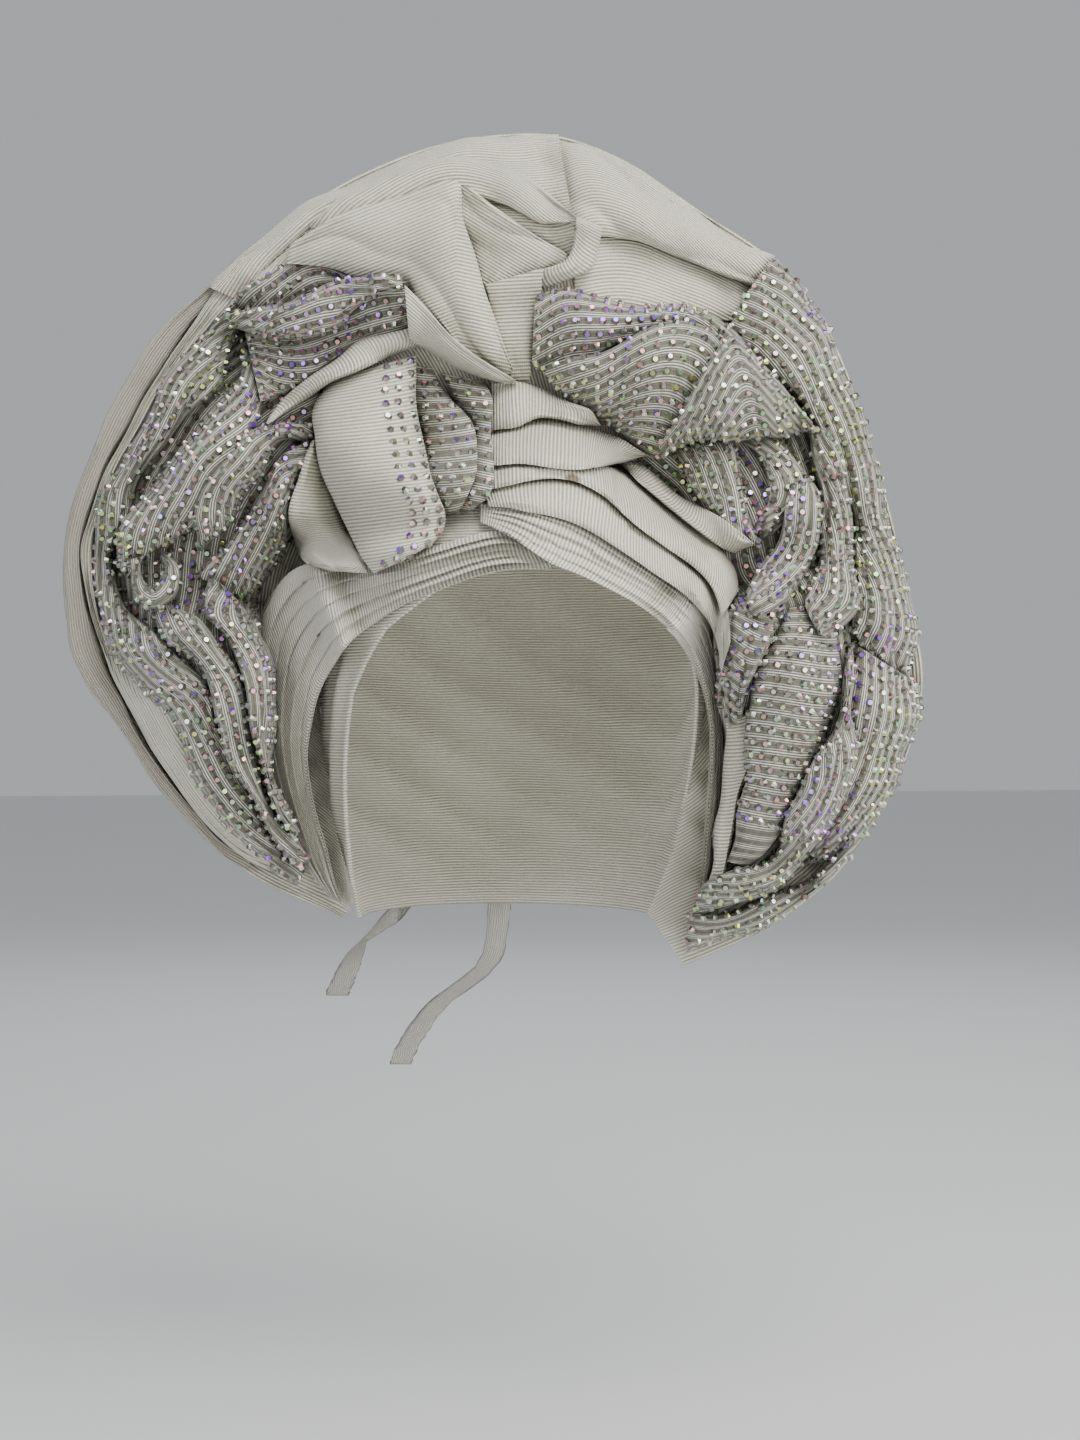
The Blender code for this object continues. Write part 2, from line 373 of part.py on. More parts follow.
def resample(sections, along):
    """A smooth run through the sections, cut into equal steps along the fold."""
    rows = np.array(sections, dtype=float)
    rows[:, 5:] = np.maximum(rows[:, 5:], -1.0)
    ends = np.vstack([2 * rows[0] - rows[1], rows, 2 * rows[-1] - rows[-2]])
    dense = []
    for index in range(len(rows) - 1):
        p0, p1, p2, p3 = ends[index:index + 4]
        for t in np.linspace(0, 1, 12, endpoint=False):
            dense.append(0.5 * (2 * p1 + (p2 - p0) * t + (2 * p0 - 5 * p1 + 4 * p2 - p3) * t * t
                                + (3 * p1 - p0 - 3 * p2 + p3) * t ** 3))
    dense.append(rows[-1])
    dense = np.array(dense)
    middle = (dense[:, 0:2] + dense[:, 2:4]) / 2
    run = np.concatenate([[0], np.cumsum(np.hypot(*np.diff(middle, axis=0).T))])
    steps = np.linspace(0, run[-1], along + 1)
    return np.stack([np.interp(steps, run, dense[:, k]) for k in range(7)], axis=1)


def material(kind):
    name = "cloth_" + kind
    found = bpy.data.materials.get(name)
    if found:
        return found
    made = bpy.data.materials.new(name)
    made.use_nodes = True
    shader = made.node_tree.nodes["Principled BSDF"]
    shader.inputs["Base Color"].default_value = COLOURS[kind]
    shader.inputs["Roughness"].default_value = ROUGHNESS[kind]
    shader.inputs["Metallic"].default_value = 0.0
    return made


def keep(bm, name, kind):
    """The finished mesh becomes the named object of the part."""
    bmesh.ops.triangulate(bm, faces=bm.faces[:])
    bmesh.ops.recalc_face_normals(bm, faces=bm.faces[:])
    if bm.calc_volume(signed=True) < 0:
        bmesh.ops.reverse_faces(bm, faces=bm.faces[:])
    mesh = bpy.data.meshes.new(name)
    bm.to_mesh(mesh)
    bm.free()
    mesh.materials.append(material(kind))
    body = bpy.data.objects.new(name, mesh)
    part.objects.link(body)
    print(name, len(mesh.polygons), "faces")
    return body


def new_grid(along, across):
    """A triangulated grid whose vertices know their place along and across."""
    bm = bmesh.new()
    bmesh.ops.create_grid(bm, x_segments=across, y_segments=along, size=1.0)
    place_of = bm.verts.layers.int.new("place")
    for vert in bm.verts:
        i = round((vert.co.y + 1) / 2 * along)
        j = round((vert.co.x + 1) / 2 * across)
        vert[place_of] = i * (across + 1) + j
    bmesh.ops.triangulate(bm, faces=bm.faces[:])
    triangles = np.array([[vert[place_of] for vert in face.verts] for face in bm.faces])
    return bm, place_of, triangles


laid_points, laid_faces = [], []
laid_edges = np.zeros((0, 3))


def touch(a, u, near, corners, weights, triangles):
    """The least gap, along the laying lines, between a sheet's back and all that is under it."""
    under = BVHTree.FromPolygons(laid_points, laid_faces)
    where_a, where_u = (a[corners] * weights).sum(axis=1), (u[corners] * weights).sum(axis=1)
    stand = stand_of((near[corners] * weights).sum(axis=1))
    lines = place(where_a, where_u, np.zeros(len(where_a))) - MEET
    least = 1.0
    meet = Vector(MEET)
    for line, height in zip(lines, stand):
        hit = under.ray_cast(meet, Vector(line))[0]
        if hit is not None:
            least = min(least, height - (REACH - float((np.array(hit) - MEET) @ AWAY)))
    sheet = BVHTree.FromPolygons([Vector(v) for v in place(a, u, stand_of(near))], triangles.tolist())
    box = ((laid_edges[:, 0] >= a.min()) & (laid_edges[:, 0] <= a.max())
           & (laid_edges[:, 1] >= u.min()) & (laid_edges[:, 1] <= u.max()))
    for line, height in zip(place(laid_edges[box, 0], laid_edges[box, 1], np.zeros(box.sum())) - MEET,
                            laid_edges[box, 2]):
        hit = sheet.ray_cast(meet, Vector(line))[0]
        if hit is not None:
            least = min(least, REACH - float((np.array(hit) - MEET) @ AWAY) - height)
    return least


def remember(a, u, stand, triangles):
    """Keep a sheet's front for what is laid on it later."""
    global laid_edges
    start = len(laid_points)
    laid_points.extend(Vector(v) for v in place(a, u, stand))
    laid_faces.extend((triangles + start).tolist())
    pairs = {}
    for corner in triangles.tolist():
        for pair in ((corner[0], corner[1]), (corner[1], corner[2]), (corner[2], corner[0])):
            pairs[tuple(sorted(pair))] = 1
    first, second = np.array(list(pairs)).T
    near = nearness(stand)
    share = np.linspace(0, 1, 24)[:, None]
    points = [(field[first] * (1 - share) + field[second] * share).ravel() for field in (a, u, near)]
    points[2] = stand_of(points[2])
    laid_edges = np.vstack([laid_edges, np.stack(points, axis=1)])


def lay_sheet(name, kind, along, across, rows, on_cover=True):
    share = (1 - np.cos(np.linspace(0, math.pi, across + 1))) / 2 if across > 2 else np.linspace(0, 1, across + 1)
    a = (rows[:, 0:1] * (1 - share) + rows[:, 2:3] * share).ravel()
    u = (rows[:, 1:2] * (1 - share) + rows[:, 3:4] * share).ravel()
    bm, place_of, triangles = new_grid(along, across)
    grown = wide_cover()
    row, column = cells(a, u)
    under = ground_map(grown)[row, column]
    if not on_cover:
        under[:] = 0
    lowest = np.where(under > 0, stand_of(np.maximum(under, 0.5)) + LAY_GAP, -1.0).reshape(along + 1, across + 1)
    outer = np.maximum(rows[:, 5] * FAN_RADIUS, lowest[:, 0])
    inner = np.maximum(rows[:, 6] * FAN_RADIUS, lowest[:, -1])
    if on_cover:
        for edge in (outer, inner):
            ground = edge.copy()
            for _ in range(2):
                edge[1:-1] = (edge[:-2] + 2 * edge[1:-1] + edge[2:]) / 4
            np.maximum(edge, ground, out=edge)
    hump = np.clip(1 - (2 * share - 1) ** 2, 0, 1) ** 0.7
    stand = outer[:, None] * (1 - share) + inner[:, None] * share + rows[:, 4:5] * FAN_RADIUS * hump
    owner, weights = sample(triangles, a, u)
    corners = triangles[owner]
    at = cells((a[corners] * weights).sum(axis=1), (u[corners] * weights).sum(axis=1))
    need = grown[at] + LAY_GAP / REACH * 1.2
    need[grown[at] == 0] = 0.0
    near = nearness(stand.ravel())
    if on_cover:
        near = lay_down(near, corners, weights, need)
        for _ in range(2):
            grid = near.reshape(along + 1, across + 1).copy()
            grid[1:-1, 1:-1] = np.maximum(grid[1:-1, 1:-1], (grid[:-2, 1:-1] + grid[2:, 1:-1]
                                                           + grid[1:-1, :-2] + grid[1:-1, 2:]) / 4)
            near = lay_down(grid.ravel(), corners, weights, need)
        near = nearness(stand_of(near) - touch(a, u, near, corners, weights, triangles) + LAY_GAP)
    stand = stand_of(near)
    back = place(a, u, stand)
    # the wall is measured square to the cloth, so it is deeper where the cloth turns away
    grid = back.reshape(along + 1, across + 1, 3)
    normal = np.cross(np.gradient(grid, axis=0), np.gradient(grid, axis=1)).reshape(-1, 3)
    normal /= np.maximum(np.linalg.norm(normal, axis=1, keepdims=True), 1e-12)
    ray = back - MEET
    ray /= np.linalg.norm(ray, axis=1, keepdims=True)
    facing = np.abs((normal * ray).sum(axis=1))
    wall = CLOTH_WALL * np.clip(1 / np.maximum(facing, 0.2), 1.0, 2.6)
    front = place(a, u, stand + wall)
    for vert in bm.verts:
        vert.co = Vector(back[vert[place_of]])
    raised = bmesh.ops.extrude_face_region(bm, geom=bm.faces[:])
    for item in raised["geom"]:
        if isinstance(item, bmesh.types.BMVert):
            item.co = Vector(front[item[place_of]])
    near_front = nearness(stand + wall)
    np.maximum.at(cover, at, (near_front[corners] * weights).sum(axis=1))
    remember(a, u, stand + wall, triangles)
    return keep(bm, name, kind)


# The cap: a shell around the hollow
def cap_half(height):
    """How wide the hollow is at a height, as a share of its widest ring."""
    over = height - HEAD_WIDEST
    if over >= 0:
        return math.sqrt(max(0.0, 1 - (over / CROWN_RISE) ** 2))
    return 1 - NAPE_TAPER * (-over / NAPE_DROP) ** 1.5


def cap_point(turn, height, out=0.0):
    half = cap_half(height)
    angle = math.radians(turn)
    return Vector(((HEAD_HALF_WIDTH * half + out) * math.sin(angle),
                   -(HEAD_HALF_DEPTH * half + out) * math.cos(angle), height))


def cap_edge_height(turn):
    turn = abs((turn + 180) % 360 - 180)
    return float(np.interp(turn, [row[0] for row in CAP_EDGE], [row[1] for row in CAP_EDGE]))


def cap_heights(turn, count):
    """Heights up one rib of the cap, from its lower edge to near the crown."""
    low = cap_edge_height(turn)
    start = -1.0 * (HEAD_WIDEST - low) / NAPE_DROP if low < HEAD_WIDEST else math.asin(
        (low - HEAD_WIDEST) / CROWN_RISE) / (math.pi / 2)
    steps = [start + (0.94 - start) * k / count for k in range(count + 1)]
    return [HEAD_WIDEST + NAPE_DROP * q if q < 0 else HEAD_WIDEST + CROWN_RISE * math.sin(q * math.pi / 2)
            for q in steps]


def make_cap(ribs=26, rings=7):
    bm = bmesh.new()
    bmesh.ops.create_grid(bm, x_segments=ribs, y_segments=rings, size=1.0)
    for vert in bm.verts:
        i = round((vert.co.x + 1) / 2 * ribs)
        j = round((vert.co.y + 1) / 2 * rings)
        turn = 360.0 * i / ribs
        vert.co = cap_point(turn, cap_heights(turn, rings)[j], CAP_WALL)
    bmesh.ops.remove_doubles(bm, verts=bm.verts[:], dist=1e-5)
    rim = [edge for edge in bm.edges if edge.is_boundary and min(v.co.z for v in edge.verts) > 0.09]
    crown = bm.verts.new((0, 0, HEAD_WIDEST + CROWN_RISE + CAP_WALL))
    for edge in rim:
        bm.faces.new((edge.verts[0], edge.verts[1], crown))
    bmesh.ops.recalc_face_normals(bm, faces=bm.faces[:])
    outside = bmesh.ops.triangulate(bm, faces=bm.faces[:])["faces"]
    bmesh.ops.recalc_face_normals(bm, faces=bm.faces[:])
    top = max(bm.faces, key=lambda face: face.calc_center_median().z)
    if top.normal.z < 0:
        bmesh.ops.reverse_faces(bm, faces=bm.faces[:])
    shell = np.array([[tuple(vert.co) for vert in face.verts] for face in bm.faces])
    bmesh.ops.solidify(bm, geom=bm.faces[:], thickness=CAP_WALL)
    keep(bm, "cap", "ivory")
    return shell


def cover_cap(shell):
    points = shell.reshape(-1, 3)
    a, u, stand = shares(points)
    triangles = np.arange(len(points)).reshape(-1, 3)
    owner, weights = sample(triangles, a, u)
    corners = triangles[owner]
    near = (nearness(stand)[corners] * weights).sum(axis=1)
    front = near > 1.0      # the far side of the hollow carries nothing
    at = cells((a[corners] * weights).sum(axis=1)[front], (u[corners] * weights).sum(axis=1)[front])
    np.maximum.at(cover, at, near[front])
    remember(a, u, stand, triangles)
    return a, u


def outline_of_cap(a, u):
    """The cap's outline as seen from the front, as turn and radius about its own middle."""
    middle_across, middle_up = 0.03, -0.35
    turn = np.degrees(np.arctan2(u - middle_up, a - middle_across))
    radius = np.hypot(a - middle_across, u - middle_up)
    ring = np.arange(-180, 180, 2.0)
    points = []
    for angle in ring:
        near = np.cos(np.radians(turn - angle))
        points.append(np.max(np.where(near > 0.2, radius * near, 0)))
    support = np.array(points)

    def edge_at(angle, gap):
        # the outline's own radius at an angle, from its support lines
        around = np.cos(np.radians(ring - angle))
        good = around > 0.2
        return float(np.min((support[good] + gap) / around[good]))
    return middle_across, middle_up, edge_at


def make_fan_back(a, u):
    """The fan's dish, from the cap's outline out to the rim."""
    middle_across, middle_up, edge_at = outline_of_cap(a, u)
    rows = resample([row._replace(inner_across=row.outer_across * 0.5, inner_up=row.outer_up * 0.5)
                     for row in FAN_BACK], 44)
    for row in rows:
        angle = math.degrees(math.atan2(row[1] - middle_up, row[0] - middle_across))
        radius = edge_at(angle, 0.0012 / FAN_RADIUS)
        row[2] = middle_across + radius * math.cos(math.radians(angle))
        row[3] = middle_up + radius * math.sin(math.radians(angle))
        row[6] = 0.08
    lay_sheet("fan_back", "ivory", 44, 4, rows, on_cover=False)


# The ties at the nape
def make_tie(name, path, widths):
    """A flat tape along a path, its width direction given at each point."""
    along = len(path) - 1
    bm = bmesh.new()
    bmesh.ops.create_grid(bm, x_segments=1, y_segments=along, size=1.0)
    for vert in bm.verts:
        i = round((vert.co.y + 1) / 2 * along)
        side = 1 if vert.co.x > 0 else -1
        vert.co = Vector(path[i]) + Vector(widths[i]) * (side * TIE_WIDTH / 2)
    bmesh.ops.recalc_face_normals(bm, faces=bm.faces[:])
    bmesh.ops.solidify(bm, geom=bm.faces[:], thickness=TIE_WALL)
    keep(bm, name, "tape")


def make_ties():
    def sight(across, up, stand):
        return Vector(place(np.array([across]), np.array([up]), np.array([stand * FAN_RADIUS]))[0])
    height = -HEAD_HALF_WIDTH * 0.92
    bm = bmesh.new()
    bmesh.ops.create_uvsphere(bm, u_segments=10, v_segments=6, radius=1.0)
    back = cap_point(180, height, CAP_WALL)
    for vert in bm.verts:
        vert.co = Vector((vert.co.x * 0.013, vert.co.y * 0.008, vert.co.z * 0.010)) + back + Vector((0, 0.0084, 0))
    keep(bm, "tie_knot", "tape")
    up = Vector((0, 0, 1))
    aside = Vector(ACROSS)
    left = [cap_point(190, height - 0.001, CAP_WALL + 0.0022), cap_point(203, height - 0.002, CAP_WALL + 0.0022),
            cap_point(216, height - 0.004, CAP_WALL + 0.0022), sight(-.300, -.875, -.30),
            sight(-.325, -.920, -.27), sight(-.345, -.965, -.26), sight(-.362, -1.005, -.26)]
    make_tie("tie_left", left, [up, up, up, (up + aside).normalized(), (up * 0.3 + aside).normalized(), aside, aside])
    right = [cap_point(170, height - 0.001, CAP_WALL + 0.0022), cap_point(173, height - 0.012, CAP_WALL + 0.0030),
             Vector((0.004, 0.088, -0.112)), sight(-.130, -1.030, -.42), sight(-.190, -1.110, -.40),
             sight(-.215, -1.165, -.40)]
    make_tie("tie_right", right, [(up + aside * 0.5).normalized(), aside, aside, aside, aside, aside])


for old in list(bpy.data.objects):
    bpy.data.objects.remove(old, do_unlink=True)
part = bpy.data.collections.new("gele_head_tie")
bpy.context.scene.collection.children.link(part)

cap_shell = make_cap()
cap_across, cap_up = cover_cap(cap_shell)
make_fan_back(cap_across, cap_up)
for fold_name, (fold_cloth, fold_along, fold_across, fold_sections) in FOLDS.items():
    lay_sheet(fold_name, fold_cloth, fold_along, fold_across, resample(fold_sections, fold_along))
make_ties()
print("faces in all", sum(len(body.data.polygons) for body in part.objects))
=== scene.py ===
# Dresses the tied gele head tie: every fold as fine ribbed cloth, the stones, the cap and the ties.
# The folds are sheets between section tables, laid back to front along the lines of sight of the front view.
import math
import random

import bmesh
import bpy
import numpy as np
from mathutils import Matrix, Vector, noise


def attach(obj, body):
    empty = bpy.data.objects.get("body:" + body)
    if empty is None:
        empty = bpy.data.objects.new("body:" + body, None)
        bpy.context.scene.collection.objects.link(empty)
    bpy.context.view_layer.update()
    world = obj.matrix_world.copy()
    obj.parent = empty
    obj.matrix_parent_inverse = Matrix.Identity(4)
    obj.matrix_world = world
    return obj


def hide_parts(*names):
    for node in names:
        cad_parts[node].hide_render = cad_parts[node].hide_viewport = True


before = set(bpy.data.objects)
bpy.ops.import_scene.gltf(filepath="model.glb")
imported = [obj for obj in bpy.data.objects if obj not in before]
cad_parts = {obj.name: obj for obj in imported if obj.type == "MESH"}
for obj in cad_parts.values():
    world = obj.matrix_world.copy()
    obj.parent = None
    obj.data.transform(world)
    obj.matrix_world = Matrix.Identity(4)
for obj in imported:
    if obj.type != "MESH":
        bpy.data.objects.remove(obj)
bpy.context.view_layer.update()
random.seed(11)

# sizes shared by every fold, in metres
fan = {"radius": 0.186, "middle": (-0.006, 0.011, 0.069), "turn": math.radians(10), "meet": (-0.1518, -0.9330, 0.0)}
cloth = {"wall": 0.0014, "gap": 0.0003, "step": 0.0021, "ribPitch": 0.0016, "hemPitch": 0.0011,
         "tapePitch": 0.0010, "edgeWaves": (0.011, 0.005), "evening": 40, "sharpTurn": 1.1}
stones = {"across": 0.0036, "pitch": 0.0054, "first": 0.40, "tall": 0.0015, "table": 0.56, "tilt": 0.11,
          "tinted": 0.28, "apart": 0.72}
head = {"halfWidth": 0.078, "halfDepth": 0.097, "widest": 0.023, "crownRise": 0.095, "napeDrop": 0.108,
        "napeTaper": 0.20, "wall": 0.0025}

acrossDir = np.array([math.cos(fan["turn"]), -math.sin(fan["turn"]), 0.0])
awayDir = np.array([math.sin(fan["turn"]), math.cos(fan["turn"]), 0.0])
middle = np.array(fan["middle"])
# every line of sight of the front view meets here, and the fan stands this far from it
meet = np.array(fan["meet"])
reach = float((middle - meet) @ awayDir)


# nodes and materials
def linear(hexColour):
    channels = [int(hexColour[k:k + 2], 16) / 255 for k in (1, 3, 5)]
    return tuple(c / 12.92 if c <= 0.04045 else ((c + 0.055) / 1.055) ** 2.4 for c in channels) + (1.0,)


def add(tree, kind, links=None, **settings):
    # one shader node: its own settings by name, and its sockets as {input: value, or the socket that feeds it}
    node = tree.nodes.new("ShaderNode" + kind)
    for key, value in settings.items():
        setattr(node, key, value)
    for key, source in (links or {}).items():
        socket = node.inputs[key]
        if isinstance(source, bpy.types.NodeSocket):
            tree.links.new(source, socket)
        else:
            socket.default_value = source
    return node


def newMaterial(name, settings):
    made = bpy.data.materials.new(name)
    made.use_nodes = True
    shader = made.node_tree.nodes["Principled BSDF"]
    for key, value in settings.items():
        shader.inputs[key].default_value = value
    return made, made.node_tree, shader


def ramp(tree, source, stops):
    node = add(tree, "ValToRGB", {"Fac": source})
    elements = node.color_ramp.elements
    while len(elements) < len(stops):
        elements.new(0.5)
    for element, (position, hexColour) in zip(elements, stops):
        element.position = position
        element.color = linear(hexColour)
    return node.outputs["Color"]


def wave(tree, vector, pitch, direction, phase=0.0):
    # an even wave whose crests lie one pitch apart, in metres
    crestGap = 0.314159  # of the node's own wave, at scale 1
    return add(tree, "TexWave", {"Vector": vector, "Scale": crestGap / pitch, "Phase Offset": phase},
               bands_direction=direction).outputs["Fac"]


def speckle(tree, vector, scale, detail):
    return add(tree, "TexNoise", {"Vector": vector, "Scale": scale, "Detail": detail}).outputs["Fac"]


def mathNode(tree, operation, *values):
    return add(tree, "Math", dict(enumerate(values)), operation=operation).outputs[0]


cotton = {"thread": 0.0009, "slubs": 700.0, "patches": 18.0, "bump": 0.7, "relief": 0.0006, "shader": {
    "Roughness": 0.66, "Specular IOR Level": 0.30, "Sheen Weight": 0.20, "Sheen Roughness": 0.5}}
# a small brown mark near the upper edge of one front fold
stain = {"fold": "front_fold_low", "at": (0.185, 0.183), "across": 0.0062, "soft": 0.0014, "strength": 0.85,
         "colour": "#6F5741"}


def ribbedCotton(name, pitch, direction, shadedColours, stoned=False, mark=None):
    # ribbed cotton, woven with raised cords, with painted light: a painted highlight on their backs and painted shade
    # on the thread between them
    made, tree, shader = newMaterial(name, cotton["shader"])
    uv = add(tree, "TexCoord").outputs["UV"]
    place3 = add(tree, "TexCoord").outputs["Object"]
    cords = wave(tree, uv, pitch, direction)
    threads = wave(tree, uv, cotton["thread"], "Y" if direction == "X" else "X")
    slubs = speckle(tree, uv, cotton["slubs"], 3.0)
    patches = speckle(tree, place3, cotton["patches"], 4.0)
    if stoned:
        # two or three white cords stand between the rows of stones, over a grey ground
        wide = wave(tree, uv, stones["pitch"], direction, -2 * math.pi * stones["first"])
        cords = mathNode(tree, "MULTIPLY", cords, mathNode(tree, "POWER", wide, 0.85))
    # painted shade in the grooves and painted highlight on the cords, mixed with slubs and patches that differ at
    # random
    shadeAndTone = mathNode(tree, "MULTIPLY", cords, 0.60)
    shadeAndTone = mathNode(tree, "MULTIPLY_ADD", slubs, 0.30, shadeAndTone)
    shadeAndTone = mathNode(tree, "MULTIPLY_ADD", patches, 0.24, shadeAndTone)
    colour = ramp(tree, shadeAndTone, [(0.16, shadedColours[0]), (0.48, shadedColours[1]), (0.86, shadedColours[2])])
    if mark is not None:
        away = add(tree, "VectorMath", {0: place3, 1: tuple(mark)}, operation="DISTANCE").outputs["Value"]
        ragged = mathNode(tree, "MULTIPLY_ADD", slubs, 0.0016, away)
        edge = stain["across"] / 2
        share = add(tree, "MapRange", {0: ragged, 1: edge, 2: edge + stain["soft"], 3: stain["strength"], 4: 0.0})
        colour = add(tree, "Mix", {0: share.outputs[0], 6: colour, 7: linear(stain["colour"])},
                     data_type="RGBA").outputs[2]
    tree.links.new(colour, shader.inputs["Base Color"])
    height = mathNode(tree, "MULTIPLY_ADD", threads, 0.16, cords)
    height = mathNode(tree, "MULTIPLY_ADD", slubs, 0.25, height)
    bump = add(tree, "Bump", {"Height": height, "Strength": cotton["bump"], "Distance": cotton["relief"]})
    tree.links.new(bump.outputs[0], shader.inputs["Normal"])
    return made


# ivory tones from groove to crest: the darkest is painted shade and the lightest a painted highlight
ivoryShadedTones = ("#88836E", "#C6C1AE", "#F1EEE1")
ivoryAlong = ribbedCotton("ribbedCottonAlong", cloth["ribPitch"], "X", ivoryShadedTones)
ivoryAcross = ribbedCotton("ribbedCottonAcross", cloth["ribPitch"], "Y", ivoryShadedTones)
# stoned tones: a grey ground under white cords, with the darkest olive tone as painted shade in the grooves and
# recesses
stonedShadedTones = ("#454437", "#8A8778", "#FAF9F1")
stonedAlong = ribbedCotton("stonedCotton", stones["pitch"] / 5, "X", stonedShadedTones, stoned=True)
stonedAcross = ribbedCotton("stonedCottonAcross", stones["pitch"] / 5, "Y", stonedShadedTones, stoned=True)
# the forehead wraps take a lighter copy of the ivory cloth: a painted highlight of their lit fronts
litWrapCotton = ribbedCotton("litWrapCotton", cloth["ribPitch"], "Y", ("#8A846F", "#D0CBBB", "#F7F4EB"))
hemCotton = ribbedCotton("hemCotton", cloth["hemPitch"], "X", ("#8B8478", "#ABA497", "#C3BCB0"))
tapeCotton = ribbedCotton("cottonTape", cloth["tapePitch"], "X", ("#97938A", "#B7B4AB", "#CFCCC4"))


def crystal():
    # foiled cut glass with an iridescent coat: its tint turns with each facet and drifts over the cloth, with painted
    # light: facets facing up and forward take the violet and pink of lit stones, those turned away the yellow-green
    # of stones in shade
    made, tree, shader = newMaterial("foiledCrystal", {"Metallic": 0.82, "Roughness": 0.12})
    pick = add(tree, "Attribute", attribute_name="pick").outputs["Fac"]
    normal = add(tree, "NewGeometry").outputs["Normal"]
    # painted light: how far each facet faces up and forward shifts its tint
    facingLight = add(tree, "VectorMath", {0: normal, 1: (-0.25, -0.35, 0.60)}, operation="DOT_PRODUCT")
    drift = speckle(tree, add(tree, "TexCoord").outputs["Object"], 20.0, 1.0)
    hue = mathNode(tree, "MULTIPLY_ADD", facingLight.outputs["Value"], 0.30, pick)
    hue = mathNode(tree, "MULTIPLY_ADD", drift, 1.5, mathNode(tree, "SUBTRACT", hue, 0.79))
    tint = ramp(tree, hue, [(0.02, "#8A8982"), (0.10, "#C2C650"), (0.22, "#E8E8A0"), (0.33, "#8CC48E"),
                            (0.43, "#E6E8E4"), (0.54, "#8F8B86"), (0.64, "#DCA49A"), (0.73, "#BDB6CE"),
                            (0.84, "#8656E2"), (0.96, "#E496B8")])
    tree.links.new(tint, shader.inputs["Base Color"])
    return made


crystalGlass = crystal()


# camera, floor, light
def linked(name, data):
    made = bpy.data.objects.new(name, data)
    bpy.context.scene.collection.objects.link(made)
    return made


def aim(obj, target):
    obj.rotation_euler = (Vector(target) - obj.location).to_track_quat("-Z", "Y").to_euler()


cameraData = bpy.data.cameras.new("camera")
cameraData.lens = 55.25
cameraData.sensor_width = 36.0
camera = linked("camera", cameraData)
camera.location = meet
aim(camera, meet + awayDir)
bpy.context.scene.camera = camera

ground = {"size": 6.0, "at": (0, 2.0, -0.30), "colour": "#D9DADB"}
floorMesh = bpy.data.meshes.new("floor")
bm = bmesh.new()
bmesh.ops.create_grid(bm, x_segments=1, y_segments=1, size=ground["size"])
bmesh.ops.translate(bm, verts=bm.verts[:], vec=ground["at"])
bm.to_mesh(floorMesh)
bm.free()
floorMesh.materials.append(newMaterial("paleFloor", {"Base Color": linear(ground["colour"]), "Roughness": 0.8})[0])
linked("floor", floorMesh)

lights = {
    "top": {"at": (0.30, -0.85, 1.15), "size": 1.0, "power": 20.0, "colour": "#FFFDF8"},
    "front": {"at": (0.25, -1.55, 0.20), "size": 0.7, "power": 5.5, "colour": "#FFFFFF"},
    "left": {"at": (-1.3, -0.9, 0.25), "size": 0.9, "power": 5.0, "colour": "#F4F8FF"},
    "right": {"at": (1.3, -0.7, 0.45), "size": 0.9, "power": 11.0, "colour": "#FFFCF6"},
    "back": {"at": (0.3, 1.5, 1.0), "size": 0.9, "power": 7.0, "colour": "#FFFFFF"},
}
for lightName, facts in lights.items():
    lamp = bpy.data.lights.new(lightName, "AREA")
    lamp.size = facts["size"]
    lamp.energy = facts["power"]
    lamp.color = linear(facts["colour"])[:3]
    lampObject = linked(lightName, lamp)
    lampObject.location = facts["at"]
    aim(lampObject, (0, 0, 0.06))

world = bpy.data.worlds.new("studio")
bpy.context.scene.world = world
world.use_nodes = True
skyTree = world.node_tree
plain = skyTree.nodes["Background"]
plain.inputs["Color"].default_value = linear("#CDD1D4")
plain.inputs["Strength"].default_value = 0.70
# the stones see a patchy room, as they would under many lamps
spots = speckle(skyTree, add(skyTree, "TexCoord").outputs["Generated"], 9.0, 1.0)
patchy = ramp(skyTree, spots, [(0.42, "#1F2124"), (0.54, "#82868B"), (0.61, "#FFFFFF")])
glints = add(skyTree, "Background", {"Color": patchy, "Strength": 2.4})
isGloss = add(skyTree, "LightPath").outputs["Is Glossy Ray"]
sky = add(skyTree, "MixShader", {0: isGloss, 1: plain.outputs[0], 2: glints.outputs[0]})
skyTree.links.new(sky.outputs[0], skyTree.nodes["World Output"].inputs["Surface"])
print("camera, floor and light are set")


# the laying of sheets
def place(across, up, stand):
    # the point seen at these shares of the fan's radius that stands this far in front of the fan
    plane = middle + np.multiply.outer(across * fan["radius"], acrossDir)
    plane[..., 2] += up * fan["radius"]
    return meet + (1.0 - stand / reach)[..., None] * (plane - meet)


def shares(points):
    offset = points - meet
    depth = offset @ awayDir
    scale = reach / depth
    across = (scale * (offset @ acrossDir) - (middle - meet) @ acrossDir) / fan["radius"]
    up = (scale * offset[..., 2] - middle[2]) / fan["radius"]
    return across, up, reach - depth


def nearness(stand):
    return 1.0 / (1.0 - stand / reach)


def standOf(near):
    return (1.0 - 1.0 / near) * reach


# what already lies in each cell of the front view, as nearness
cover = {"cell": 0.004, "left": -1.09, "low": -1.30, "rows": 600, "columns": 545}
cover["map"] = np.zeros((cover["rows"], cover["columns"]))


def cells(across, up):
    column = np.clip(((across - cover["left"]) / cover["cell"]).astype(int), 1, cover["columns"] - 2)
    row = np.clip(((up - cover["low"]) / cover["cell"]).astype(int), 1, cover["rows"] - 2)
    return row, column


def highest(grid, steps):
    # each cell takes the highest of itself and the cells these steps away
    around = grid.copy()
    for step in steps:
        np.maximum(around, np.roll(grid, step, (0, 1)), out=around)
    return around


